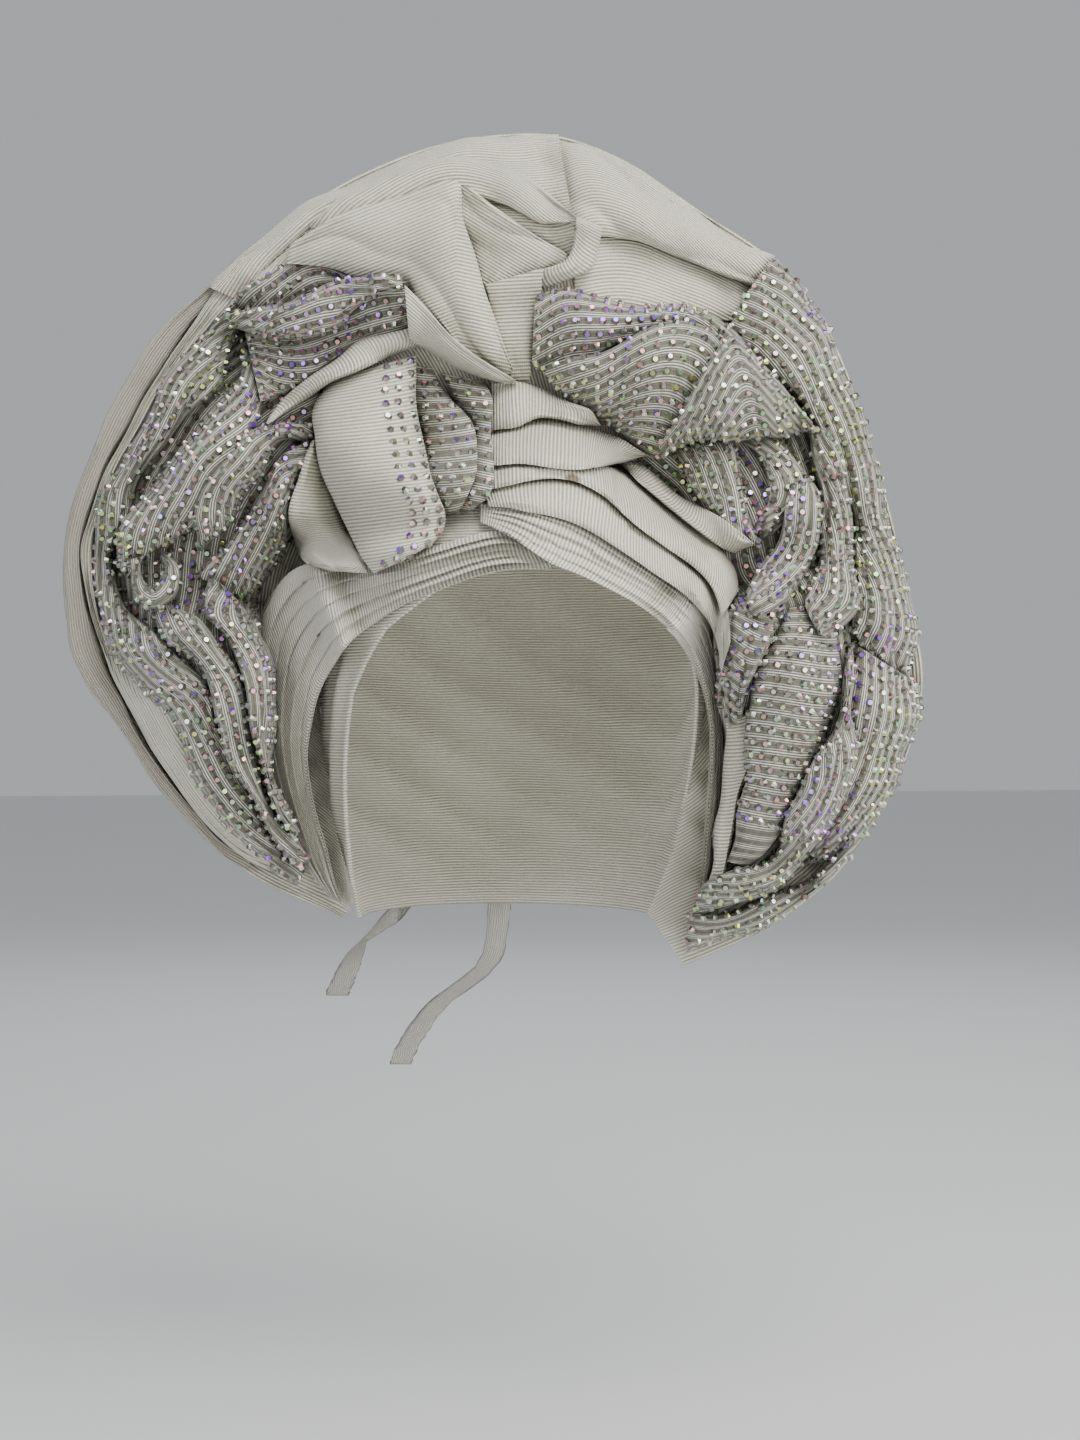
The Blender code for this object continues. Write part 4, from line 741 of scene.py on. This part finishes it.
# the folds in the order they are laid, one row for each section: the outer edge across and up, the inner edge
# across and up, the bulge and, where given, the least standing of each edge, in thousandths of the fan's radius
folds = {
    "wrap_left": [
        (110, 50, 140, -20, 10), (20, 70, 40, -22, 12), (-60, 55, -30, -35, 14), (-130, 35, -100, -60, 18),
        (-210, 15, -200, -100, 22), (-295, 10, -265, -140, 25), (-385, 5, -325, -185, 30, 260, 380),
        (-475, -30, -370, -245, 35, 150, 330), (-535, -120, -405, -315, 35, 90, 270),
        (-558, -240, -425, -405, 32, 60, 220), (-558, -350, -430, -465, 28, 50, 190),
        (-540, -470, -420, -540, 24, 40, 160), (-508, -570, -405, -605, 20, 40, 120),
        (-475, -650, -385, -670, 16, 40, 90), (-435, -715, -370, -735, 12, 40, 70),
        (-378, -785, -350, -800, 6, 30, 50)],
    "wrap_right": [
        (-30, 130, -30, 90, 8), (60, 130, 45, 52, 12), (140, 115, 130, -5, 14), (215, 85, 200, -34, 16),
        (290, 35, 265, -65, 18), (370, -15, 330, -100, 20), (450, -70, 390, -145, 22, 380, 400),
        (500, -130, 445, -210, 24, 260, 330), (525, -220, 480, -280, 20, 170, 260),
        (535, -320, 497, -350, 18, 120, 210), (540, -400, 503, -420, 16, 90, 180),
        (540, -500, 500, -505, 14, 70, 150), (535, -600, 490, -635, 12, 60, 120), (520, -700, 483, -730, 10, 50, 90),
        (500, -800, 470, -820, 8, 40, 60), (465, -900, 445, -920, 5, 30, 40)],
    "underfold_left": [
        (-500, -730, -450, -730, 30), (-620, -620, -500, -620, 80), (-740, -470, -530, -460, 120),
        (-820, -300, -540, -280, 150), (-880, -120, -540, -110, 170), (-880, 60, -490, 20, 170),
        (-830, 240, -400, 140, 160), (-740, 400, -360, 240, 140), (-600, 540, -280, 300, 120)],
    "underfold_top": [
        (-620, 570, -280, 310, 80), (-440, 730, -160, 320, 120), (-200, 840, -50, 330, 140), (20, 880, 60, 320, 140),
        (220, 850, 160, 300, 140), (420, 750, 260, 260, 120), (590, 610, 340, 200, 80)],
    "underfold_right": [
        (600, 600, 300, 240, 100), (720, 460, 400, 120, 140), (800, 280, 460, 0, 160), (850, 80, 500, -120, 170),
        (890, -120, 520, -250, 170), (910, -320, 530, -400, 150), (860, -500, 530, -550, 120),
        (770, -660, 510, -680, 90), (640, -780, 490, -780, 60), (520, -860, 465, -850, 30)],
    "hem_left_outer": [
        (-570, -722, -560, -690, 20), (-650, -670, -635, -645, 20), (-765, -540, -730, -535, 30),
        (-845, -430, -805, -430, 30), (-908, -335, -860, -320, 30), (-948, -275, -895, -255, 30),
        (-978, -215, -915, -200, 35), (-993, -110, -935, -120, 35), (-998, 0, -955, 0, 35), (-988, 80, -945, 80, 35),
        (-948, 210, -905, 200, 35), (-898, 340, -845, 310, 30), (-838, 440, -795, 405, 30),
        (-765, 548, -720, 520, 25), (-670, 632, -650, 605, 20), (-585, 705, -560, 665, 10)],
    "hem_left_inner": [
        (-490, -735, -460, -725, 20), (-570, -695, -535, -665, 20), (-640, -640, -595, -615, 25),
        (-690, -585, -640, -560, 30), (-735, -530, -675, -500, 30), (-780, -460, -705, -440, 30),
        (-830, -370, -745, -345, 35), (-862, -310, -795, -305, 35), (-898, -240, -855, -225, 30),
        (-935, -120, -905, -120, 30), (-955, 0, -915, 0, 30), (-945, 80, -905, 80, 30), (-905, 200, -860, 200, 30),
        (-843, 310, -795, 320, 30), (-795, 405, -745, 405, 30), (-720, 520, -650, 520, 30),
        (-640, 630, -580, 580, 30), (-560, 715, -500, 640, 30)],
    "crown_lower": [
        (190, 780, 190, 580, 30), (330, 780, 330, 570, 40), (450, 735, 460, 560, 40), (600, 670, 590, 560, 30)],
    "crown_right": [
        (140, 970, 175, 740, 40), (200, 968, 245, 752, 60), (265, 950, 310, 742, 70), (315, 925, 360, 732, 70),
        (390, 872, 420, 712, 70), (470, 812, 485, 684, 60), (545, 757, 550, 656, 50), (625, 722, 610, 630, 40),
        (655, 708, 645, 630, 20)],
    "crown_back": [
        (-660, 635, -560, 590, 20), (-605, 695, -500, 640, 30), (-540, 742, -440, 690, 40),
        (-445, 825, -360, 720, 50), (-345, 870, -280, 750, 60), (-220, 925, -180, 770, 60), (-90, 972, -60, 780, 60),
        (20, 988, 80, 740, 60), (152, 990, 200, 700, 30)],
    "crown_upper_fold": [
        (-440, 800, -410, 750, 20), (-300, 870, -260, 800, 30), (-145, 935, -100, 850, 40), (-10, 925, 20, 830, 40),
        (100, 880, 120, 780, 40), (190, 830, 205, 750, 20)],
    "crown_inner": [
        (-110, 870, -60, 870, 10), (-100, 810, 20, 810, 20), (-80, 750, 100, 755, 30), (-50, 690, 180, 705, 30),
        (-20, 640, 110, 660, 20), (0, 590, 50, 610, 10)],
    "crown_curl": [
        (195, 800, 255, 775, 20), (185, 735, 245, 720, 30), (165, 700, 228, 672, 30), (130, 682, 160, 645, 20),
        (95, 665, 110, 630, 10)],
    "crown_tail": [
        (-20, 640, 118, 680, 10), (-10, 590, 115, 620, 20), (0, 530, 97, 550, 30), (20, 470, 92, 480, 30),
        (45, 415, 85, 410, 10)],
    "left_ruffle_back": [
        (-610, 600, -570, 550, 20), (-540, 650, -490, 570, 40), (-460, 700, -420, 590, 50),
        (-400, 705, -360, 600, 50), (-320, 670, -290, 600, 30), (-230, 660, -220, 600, 10)],
    "crown_peak": [
        (-470, 735, -480, 690, 20), (-340, 812, -390, 680, 50), (-200, 852, -310, 650, 70), (-85, 880, -240, 645, 90),
        (-70, 790, -200, 625, 90), (-35, 690, -165, 575, 80), (-5, 600, -120, 520, 70), (18, 520, -60, 470, 50),
        (48, 440, 15, 420, 20)],
    "left_pleat_outer": [
        (-455, -750, -435, -720, 20), (-545, -690, -500, -655, 40), (-595, -640, -535, -610, 50),
        (-640, -580, -565, -550, 60), (-685, -520, -590, -490, 60), (-715, -460, -612, -430, 60),
        (-745, -390, -632, -375, 70), (-775, -335, -655, -310, 70), (-830, -285, -690, -262, 70),
        (-872, -230, -745, -215, 60), (-903, -165, -800, -155, 60), (-925, -95, -850, -100, 50),
        (-926, 0, -888, 0, 30), (-920, 80, -862, 65, 40), (-900, 170, -840, 150, 40), (-860, 240, -790, 225, 50),
        (-805, 330, -712, 330, 60), (-755, 420, -650, 400, 70), (-695, 500, -615, 460, 60),
        (-650, 550, -598, 530, 40), (-600, 595, -585, 560, 20)],
    "left_ruffle_large": [
        (-878, -10, -850, -40, 20), (-868, 60, -790, 25, 50), (-815, 140, -730, 58, 80), (-760, 210, -670, 90, 100),
        (-715, 285, -630, 155, 110), (-670, 335, -595, 210, 100), (-620, 380, -565, 270, 80),
        (-585, 430, -545, 330, 60), (-580, 500, -530, 420, 30)],
    "left_flap_under": [
        (-580, 545, -540, 370, 20), (-500, 540, -490, 390, 30), (-440, 545, -430, 420, 40),
        (-370, 580, -350, 470, 40), (-290, 625, -250, 515, 30), (-200, 650, -185, 540, 20)],
    "left_flap": [
        (-625, 570, -600, 540, 20), (-555, 587, -540, 520, 50), (-500, 602, -480, 508, 70),
        (-445, 617, -425, 512, 80), (-385, 637, -365, 545, 70), (-335, 652, -320, 588, 50),
        (-270, 658, -265, 620, 40), (-210, 658, -210, 628, 20)],
    "left_ridge_a": [
        (-415, 320, -415, 270, 20), (-490, 330, -490, 270, 50), (-555, 300, -520, 240, 60),
        (-600, 250, -545, 190, 70), (-655, 190, -585, 145, 70), (-695, 110, -610, 80, 60), (-715, 30, -650, 15, 30)],
    "left_ridge_b": [
        (-430, 280, -415, 230, 20), (-492, 237, -462, 183, 50), (-527, 177, -475, 118, 80),
        (-562, 112, -482, 45, 100), (-612, 57, -488, -5, 100), (-655, 10, -530, -55, 80), (-695, -35, -580, -85, 40)],
    "left_pleat_a": [
        (-830, -95, -780, -60, 20), (-775, -172, -710, -115, 50), (-702, -235, -640, -175, 70),
        (-655, -310, -590, -250, 70), (-638, -370, -565, -330, 70), (-620, -440, -552, -415, 70),
        (-590, -510, -538, -490, 70), (-545, -595, -508, -560, 60), (-495, -665, -468, -625, 40),
        (-452, -720, -430, -690, 20)],
    "left_pleat_b": [
        (-705, -45, -600, -40, 30), (-685, -120, -560, -118, 70), (-622, -182, -528, -188, 80),
        (-582, -252, -512, -262, 80), (-567, -340, -506, -340, 70), (-556, -430, -506, -430, 70),
        (-537, -510, -500, -510, 60), (-502, -580, -480, -570, 40), (-462, -645, -448, -630, 20)],
    "left_swirl": [
        (-850, 0, -812, 10, 20), (-842, -70, -806, -45, 50), (-795, -108, -785, -66, 60), (-740, -75, -768, -45, 60),
        (-728, -15, -762, -12, 50), (-755, 30, -785, 12, 20)],
    "right_outer": [
        (652, 705, 580, 610, 30), (712, 640, 555, 535, 50), (752, 580, 600, 480, 70), (792, 525, 655, 420, 80),
        (837, 395, 730, 340, 80), (862, 325, 765, 290, 80), (886, 245, 790, 230, 80), (906, 165, 812, 165, 80),
        (926, 85, 826, 85, 80), (946, 15, 838, 10, 80), (966, -70, 845, -60, 80), (981, -160, 842, -130, 80),
        (996, -235, 842, -200, 60), (1000, -295, 910, -270, 40), (990, -340, 960, -310, 20)],
    "right_lower": [
        (992, -290, 850, -200, 30), (994, -355, 832, -300, 60), (988, -400, 828, -360, 70),
        (965, -450, 832, -430, 70), (945, -505, 822, -505, 70), (915, -560, 798, -570, 60),
        (890, -600, 776, -620, 50), (860, -645, 752, -665, 40), (830, -695, 728, -705, 30)],
    "right_hem_low": [
        (452, -820, 450, -900, 20), (520, -820, 500, -898, 40), (600, -800, 590, -872, 50),
        (690, -765, 670, -826, 50), (780, -705, 757, -762, 50), (845, -630, 832, -690, 30)],
    "right_fold_low": [
        (590, -360, 540, -370, 20), (605, -450, 540, -460, 50), (575, -540, 530, -550, 50),
        (560, -630, 515, -630, 50), (545, -720, 505, -720, 40), (510, -800, 480, -800, 20)],
    "right_pleat_middle": [
        (770, -100, 690, -110, 30), (800, -200, 660, -180, 70), (810, -300, 610, -260, 100),
        (785, -390, 585, -350, 100), (752, -455, 590, -430, 100), (716, -530, 592, -500, 100),
        (680, -600, 575, -570, 90), (645, -675, 555, -650, 60), (590, -712, 545, -700, 30)],
    "right_pleat_outer": [
        (850, -180, 810, -210, 20), (842, -280, 805, -330, 50), (838, -355, 785, -400, 60),
        (843, -430, 750, -462, 70), (832, -505, 715, -532, 80), (792, -600, 680, -602, 70),
        (752, -672, 654, -668, 60), (692, -735, 620, -708, 50), (622, -780, 560, -720, 50),
        (540, -800, 505, -745, 40), (472, -820, 470, -775, 20)],
    "right_pleat_inner": [
        (690, -80, 525, -80, 30), (660, -170, 528, -170, 60), (612, -240, 532, -240, 50), (585, -310, 540, -315, 40),
        (578, -370, 548, -390, 20)],
    "right_fold_c": [
        (785, 300, 730, 320, 20), (805, 230, 752, 220, 50), (822, 165, 760, 150, 60), (835, 85, 757, 80, 70),
        (845, 15, 750, 15, 70), (850, -60, 740, -50, 70), (845, -130, 722, -110, 60), (830, -190, 705, -160, 30)],
    "right_arch": [
        (98, 612, 90, 450, 30), (168, 632, 150, 430, 70), (245, 612, 215, 450, 90), (330, 600, 285, 490, 90),
        (410, 593, 360, 520, 90), (480, 580, 440, 530, 80), (545, 542, 500, 510, 70), (605, 480, 550, 470, 50),
        (645, 430, 600, 430, 20)],
    "right_patch": [
        (105, 450, 165, 380, 20), (180, 470, 200, 345, 60), (250, 490, 250, 312, 90), (350, 533, 310, 280, 100),
        (440, 552, 370, 240, 100), (505, 535, 405, 260, 90), (540, 495, 450, 350, 60), (560, 450, 500, 420, 20)],
    "right_fold_b": [
        (660, 300, 570, 280, 20), (700, 245, 622, 228, 50), (725, 190, 645, 178, 60), (718, 130, 640, 130, 60),
        (682, 85, 612, 88, 50), (650, 45, 600, 50, 20)],
    "right_bowl": [
        (740, 195, 690, 175, 20), (757, 120, 680, 90, 50), (757, 50, 655, 30, 70), (732, -20, 620, -10, 80),
        (702, -80, 585, -60, 70), (670, -140, 555, -120, 30)],
    "right_fold_a": [
        (565, 290, 425, 260, 30), (577, 185, 448, 190, 70), (597, 115, 485, 135, 70), (617, 60, 530, 83, 60),
        (622, 30, 580, 40, 20)],
    "right_flap": [
        (385, 265, 392, 242, 10), (420, 325, 440, 260, 30), (458, 395, 500, 272, 60), (510, 465, 560, 282, 80),
        (560, 520, 615, 287, 90), (632, 450, 665, 288, 80), (688, 388, 705, 292, 50), (742, 322, 747, 298, 20)],
    "front_fold_lowest": [
        (-30, 180, -10, 125, 10), (80, 185, 80, 116, 30), (170, 190, 150, 100, 30), (255, 155, 220, 72, 40),
        (320, 100, 290, 22, 40), (390, 45, 370, -25, 40), (465, 5, 445, -78, 40), (520, -50, 498, -135, 30),
        (548, -120, 520, -200, 20), (552, -190, 530, -260, 10)],
    "front_fold_low": [
        (-10, 240, -5, 165, 20), (80, 245, 80, 185, 40), (170, 245, 170, 188, 50), (240, 230, 245, 153, 50),
        (315, 200, 315, 98, 50), (385, 145, 385, 43, 50), (460, 85, 455, -5, 40), (525, 35, 495, -50, 50),
        (562, -15, 520, -95, 40), (572, -70, 532, -130, 20)],
    "front_roll": [
        (285, 250, 295, 215, 20), (360, 212, 350, 172, 40), (415, 168, 415, 112, 50), (460, 135, 485, 62, 50),
        (530, 98, 555, 20, 40), (610, 55, 600, 18, 20)],
    "front_fold_middle": [
        (-5, 335, -5, 220, 30), (60, 340, 60, 220, 50), (120, 340, 120, 217, 60), (215, 312, 215, 214, 60),
        (295, 282, 295, 227, 40), (368, 248, 360, 236, 20)],
    "front_fold_top": [
        (-5, 417, -5, 300, 30), (50, 414, 50, 310, 50), (110, 397, 100, 332, 50), (165, 372, 150, 328, 40),
        (225, 350, 200, 316, 30), (260, 322, 240, 302, 10)],
    "knot_side": [
        (-420, 280, -370, 280, 20), (-452, 190, -360, 190, 50), (-476, 110, -345, 110, 70), (-467, 50, -325, 50, 70),
        (-442, 0, -300, 0, 50), (-380, -25, -290, -30, 20)],
    "knot_pleat_right": [
        (-120, 435, -20, 415, 30), (-90, 370, 0, 370, 60), (-80, 300, 4, 300, 70), (-80, 230, 0, 220, 70),
        (-90, 160, -15, 150, 50), (-110, 125, -60, 110, 20)],
    "knot_pleat_middle": [
        (-200, 455, -140, 447, 30), (-200, 385, -98, 382, 60), (-190, 300, -52, 312, 80), (-175, 220, -38, 222, 80),
        (-155, 165, -57, 160, 60), (-130, 115, -80, 105, 20)],
    "knot_lobe": [
        (-370, 425, -178, 478, 50), (-416, 350, -182, 385, 130), (-412, 280, -166, 295, 170),
        (-400, 200, -146, 215, 180), (-375, 140, -126, 160, 170), (-335, 70, -112, 100, 140),
        (-305, 10, -132, 48, 100), (-278, -30, -210, -2, 30)],
    "knot_roll": [
        (-540, 325, -510, 310, 20), (-497, 367, -470, 350, 40), (-457, 402, -425, 380, 50),
        (-412, 440, -380, 408, 60), (-360, 475, -322, 432, 60), (-310, 508, -258, 468, 60),
        (-250, 525, -205, 488, 50), (-180, 542, -160, 500, 30)],
    "crown_roll": [
        (-205, 640, -195, 515, 30), (-150, 585, -148, 483, 50), (-100, 528, -92, 447, 50), (-48, 480, -32, 428, 40),
        (4, 448, 18, 414, 30), (60, 425, 50, 402, 10)],
}

# how each fold is creased: pleats across it and their depth, creases and their size, all in metres, with how its
# cords run and which of its ends are drawn to a point
def creased(pleats, deep, crease=None, creaseSize=None, **more):
    given = {"pleats": pleats, "deep": deep, "crease": crease, "creaseSize": creaseSize, **more}
    return {key: value for key, value in given.items() if value is not None}


plainStoned = creased(2.6, 0.0034, 0.0016, 0.010, stretch=0.45, wander=0.2)
plainIvory = creased(1.6, 0.0014, 0.0010, 0.016, sway=0.003)
wrapped = {"shingle": True, "wander": 0.12, "fine": 2.6, "sway": 0.0, "border": 30, "ribs": "wrapped"}
knotPleat = creased(1, 0.001, 0.0004, ribs="across", flat=True)
start, end, both = ("start",), ("end",), ("start", "end")
stonedGroups = ("left_", "right_", "knot_pleat_", "underfold_")
looks = {
    "wrap_left": creased(6, 0.0052, 0.0002, **wrapped), "wrap_right": creased(5, 0.0030, 0.0002, **wrapped),
    "underfold_top": {"cloth": "ivory"}, "right_fold_low": {"cloth": "ivory"},
    "hem_left_outer": creased(2, 0.0012, 0.0006, sway=0.002, cloth="hem"),
    "hem_left_inner": creased(3, 0.0018, 0.0006, ribs="along", fine=1.6, sway=0.002),
    "crown_right": creased(1.3, 0.004, 0.0026, 0.03, ribs="along"),
    "crown_lower": creased(1.3, 0.003, 0.0020, 0.02, ribs="along", full=0.3),
    "crown_back": creased(2.4, 0.0065, 0.0020, 0.03, ribs="along"),
    "crown_upper_fold": creased(1, 0.003, ribs="along", tips=both),
    "crown_inner": creased(1.4, 0.003, tent=(0.0, -0.6, -0.6)),
    "crown_tail": {"tent": (0.0, 0.05, 0.05)},
    "crown_peak": creased(1.8, 0.005, 0.0022, 0.03, tent=(-0.085, 0.40, -0.22)),
    "crown_roll": creased(1, 0.002, ribs="along", tips=end),
    "knot_roll": creased(1, 0.001, ribs="across", tips=start),
    "knot_lobe": creased(1.3, 0.0012, 0.0008, 0.025, stoneRows=3, fromInner=True, flat=True),
    "knot_side": creased(3, 0.0018), "knot_pleat_middle": knotPleat, "knot_pleat_right": knotPleat,
    "front_fold_top": creased(1.5, 0.0018, tips=end), "front_fold_middle": creased(1.2, 0.0014, tips=end),
    "front_fold_low": creased(2.2, 0.0024), "front_fold_lowest": creased(3.4, 0.0026),
    "front_roll": creased(1, 0.0012, tips=both),
    "left_swirl": creased(1, 0.001, tips=end), "left_ruffle_large": creased(1.4, 0.0022, 0.0010),
    "left_ridge_a": {"tips": end}, "left_pleat_a": {"tips": start}, "left_pleat_b": {"tips": start},
    "right_fold_c": {"tips": end}, "right_bowl": {"tips": end}, "right_outer": {"tips": end},
    "right_fold_b": {"tips": end}, "right_pleat_outer": {"tips": start}, "right_pleat_inner": {"ribs": "across"},
    "right_pleat_middle": {"ribs": "across", "bare": 0.80}, "right_patch": creased(1.2, 0.0016, 0.0009),
    "right_arch": creased(1.4, 0.0024, 0.0010), "right_flap": creased(1.2, 0.0018, 0.0010),
}

for foldName, sections in folds.items():
    look = {"cloth": "stoned" if foldName.startswith(stonedGroups) else "ivory", **looks.get(foldName, {})}
    laySheet(foldName, {**(plainStoned if look["cloth"] == "stoned" else plainIvory), **look}, sections)
print("folds are laid:", len(folds))


def stainFold():
    piece = madePieces[stain["fold"]]
    points = np.array([tuple(vert.co) for vert in piece.data.vertices])
    across, up, stand = shares(points)
    off = np.hypot(across - stain["at"][0], up - stain["at"][1]) - 0.02 * stand  # the front of the wall wins
    nearest = points[int(np.argmin(off))]
    piece.data.materials[0] = ribbedCotton("ribbedCottonMarked", cloth["ribPitch"], "Y", ivoryShadedTones, mark=nearest)


stainFold()


# the stones
def stoneSpots(look, grid, heights, acrossArc, lineArc):
    # rows of stones lie along the cords, one pitch apart, level with each other across the fold
    normal = normalsOf(grid)
    rows = np.arange(stones["first"] * stones["pitch"], acrossArc.max(), stones["pitch"])[:look.get("stoneRows", 99)]
    lines = np.arange(stones["pitch"] * 0.4, lineArc[-1] * look.get("bare", 1.0), stones["pitch"])
    for line in lines:
        i = min(int(np.searchsorted(lineArc, line)), len(lineArc) - 1)
        h = max(i - 1, 0)
        g = (line - lineArc[h]) / max(lineArc[i] - lineArc[h], 1e-9)
        arc = acrossArc[h] * (1 - g) + acrossArc[i] * g
        points, faces, tall = (item[h] * (1 - g) + item[i] * g for item in (grid, normal, heights))
        if look.get("fromInner"):
            arc, points, faces, tall = arc[::-1], points[::-1], faces[::-1], tall[::-1]
        for row in rows:
            if row > arc[-1] - 0.0008:
                break
            j = min(max(int(np.searchsorted(arc, row)), 1), len(arc) - 1)
            f = (row - arc[j - 1]) / max(arc[j] - arc[j - 1], 1e-9)
            yield (points[j - 1] * (1 - f) + points[j] * f, faces[j - 1] * (1 - f) + faces[j] * f,
                   tall[j - 1] * (1 - f) + tall[j] * f)


def setStones():
    # one cut stone is set again and again: a flat table over eight crown facets
    template = bpy.data.meshes.new("oneStone")
    bm = bmesh.new()
    bmesh.ops.create_cone(bm, cap_ends=True, segments=8, radius1=0.5, radius2=0.5 * stones["table"],
                          depth=stones["tall"] / stones["across"])
    bm.faces.layers.float.new("pick")
    bm.to_mesh(template)
    bm.free()
    tints = template.attributes["pick"].data
    top = max(range(len(template.polygons)), key=lambda k: template.polygons[k].center.z)
    bm = bmesh.new()
    taken, count = {}, 0
    cell = stones["pitch"] * stones["apart"]
    for facts in stonedSheets:
        for point, normal, height in stoneSpots(*facts):
            across, up, _ = shares(point[None])
            if standOf(max(cover["map"][cells(across, up)][0], 0.5)) > height + 0.0020:
                continue
            key = tuple(np.floor(point / cell).astype(int))
            around = [other for x in (-1, 0, 1) for y in (-1, 0, 1) for z in (-1, 0, 1)
                      for other in taken.get((key[0] + x, key[1] + y, key[2] + z), ())]
            if any(np.linalg.norm(other - point) < cell for other in around):
                continue
            taken.setdefault(key, []).append(point)
            axis = Vector(normal).normalized()
            lean = Vector((random.gauss(0, 1), random.gauss(0, 1), random.gauss(0, 1))) * stones["tilt"]
            turn = (axis + lean).normalized().to_track_quat("Z", "Y").to_matrix().to_4x4()
            size = stones["across"] * random.uniform(0.94, 1.04)
            where = Matrix.Translation(Vector(point) + axis * (stones["tall"] * 0.42)) @ turn \
                @ Matrix.Rotation(random.uniform(0, math.pi), 4, "Z") @ Matrix.Scale(size, 4)
            value = random.uniform(0.25, 0.65)
            for face, tint in enumerate(tints):
                tint.value = value if face == top or random.random() < stones["tinted"] else -3.0
            template.transform(where)
            bm.from_mesh(template)
            template.transform(where.inverted())
            count += 1
    print("stones set:", count)
    bpy.data.meshes.remove(template)
    keep(bm, "stones", None, crystalGlass, None, smooth=False)


setStones()


# the ties at the nape
tie = {"width": 0.010, "wall": 0.0012, "reach": 0.06, "ragged": 0.0012, "knot": (0.013, 0.008, 0.010), "lift": 0.0106}


def sight(across, up, stand):
    return Vector(place(np.array([across]), np.array([up]), np.array([stand * fan["radius"]]))[0])


def makeTie(name, path, widths):
    fine = []
    for index in range(len(path) - 1):
        near = [path[min(max(index + k, 0), len(path) - 1)] for k in (-1, 0, 1, 2)]
        fine += [(curve(*near, step / 8), widths[index].lerp(widths[index + 1], step / 8).normalized())
                 for step in range(8)]
    fine.append((path[-1], widths[-1]))
    bm = bmesh.new()
    along, across = len(fine) - 1, 4
    bmesh.ops.create_grid(bm, x_segments=across, y_segments=along, size=1.0)
    weave(bm, lambda vert: (vert.co.x * tie["width"] / 2, vert.co.y * tie["reach"]))
    for vert in bm.verts:
        point, width = fine[round((vert.co.y + 1) / 2 * along)]
        ragged = tie["ragged"] * noise.noise(Vector((vert.co.x * 9, vert.co.y * 30, 3.1)))
        vert.co = point + width * (vert.co.x * tie["width"] / 2 + ragged)
    bmesh.ops.solidify(bm, geom=bm.faces[:], thickness=tie["wall"])
    bmesh.ops.recalc_face_normals(bm, faces=bm.faces[:])
    piece = keep(bm, name + "_tape", name, tapeCotton, "tie_tape")
    max(tie["width"], leastSheet["side"])


def makeTies():
    height = -head["halfWidth"] * 0.92
    bm = bmesh.new()
    bmesh.ops.create_uvsphere(bm, u_segments=32, v_segments=18, radius=1.0)
    base = capPoint(180, height, head["wall"]) + Vector((0, tie["lift"], 0))
    for vert in bm.verts:
        swirl = 1 + 0.10 * math.sin(5 * math.atan2(vert.co.z, vert.co.x) + 6 * vert.co.y)
        vert.co = Vector((vert.co.x * tie["knot"][0] * swirl, vert.co.y * tie["knot"][1],
                          vert.co.z * tie["knot"][2] * swirl)) + base
    keep(bm, "tie_knot_cloth", "tie_knot", tapeCotton, "tie_tape")
    up, aside = Vector((0, 0, 1)), Vector(acrossDir)
    wall = head["wall"]
    makeTie("tie_left", [capPoint(190, height - 0.001, wall + 0.0048), capPoint(203, height - 0.003, wall + 0.0046),
                         capPoint(216, height - 0.014, wall + 0.0046), sight(-.300, -.875, -.30),
                         sight(-.325, -.920, -.27), sight(-.345, -.965, -.26), sight(-.362, -1.005, -.26)],
            [up, up, up, (up + aside).normalized(), (up * 0.3 + aside).normalized(), aside, aside])
    makeTie("tie_right", [capPoint(170, height - 0.001, wall + 0.0048), capPoint(173, height - 0.012, wall + 0.0048),
                          Vector((0.004, 0.088, -0.112)), sight(-.130, -1.030, -.42), sight(-.190, -1.110, -.40),
                          sight(-.215, -1.165, -.40)],
            [(up + aside * 0.5).normalized(), aside, aside, aside, aside, aside])


makeTies()
print("ties are made")
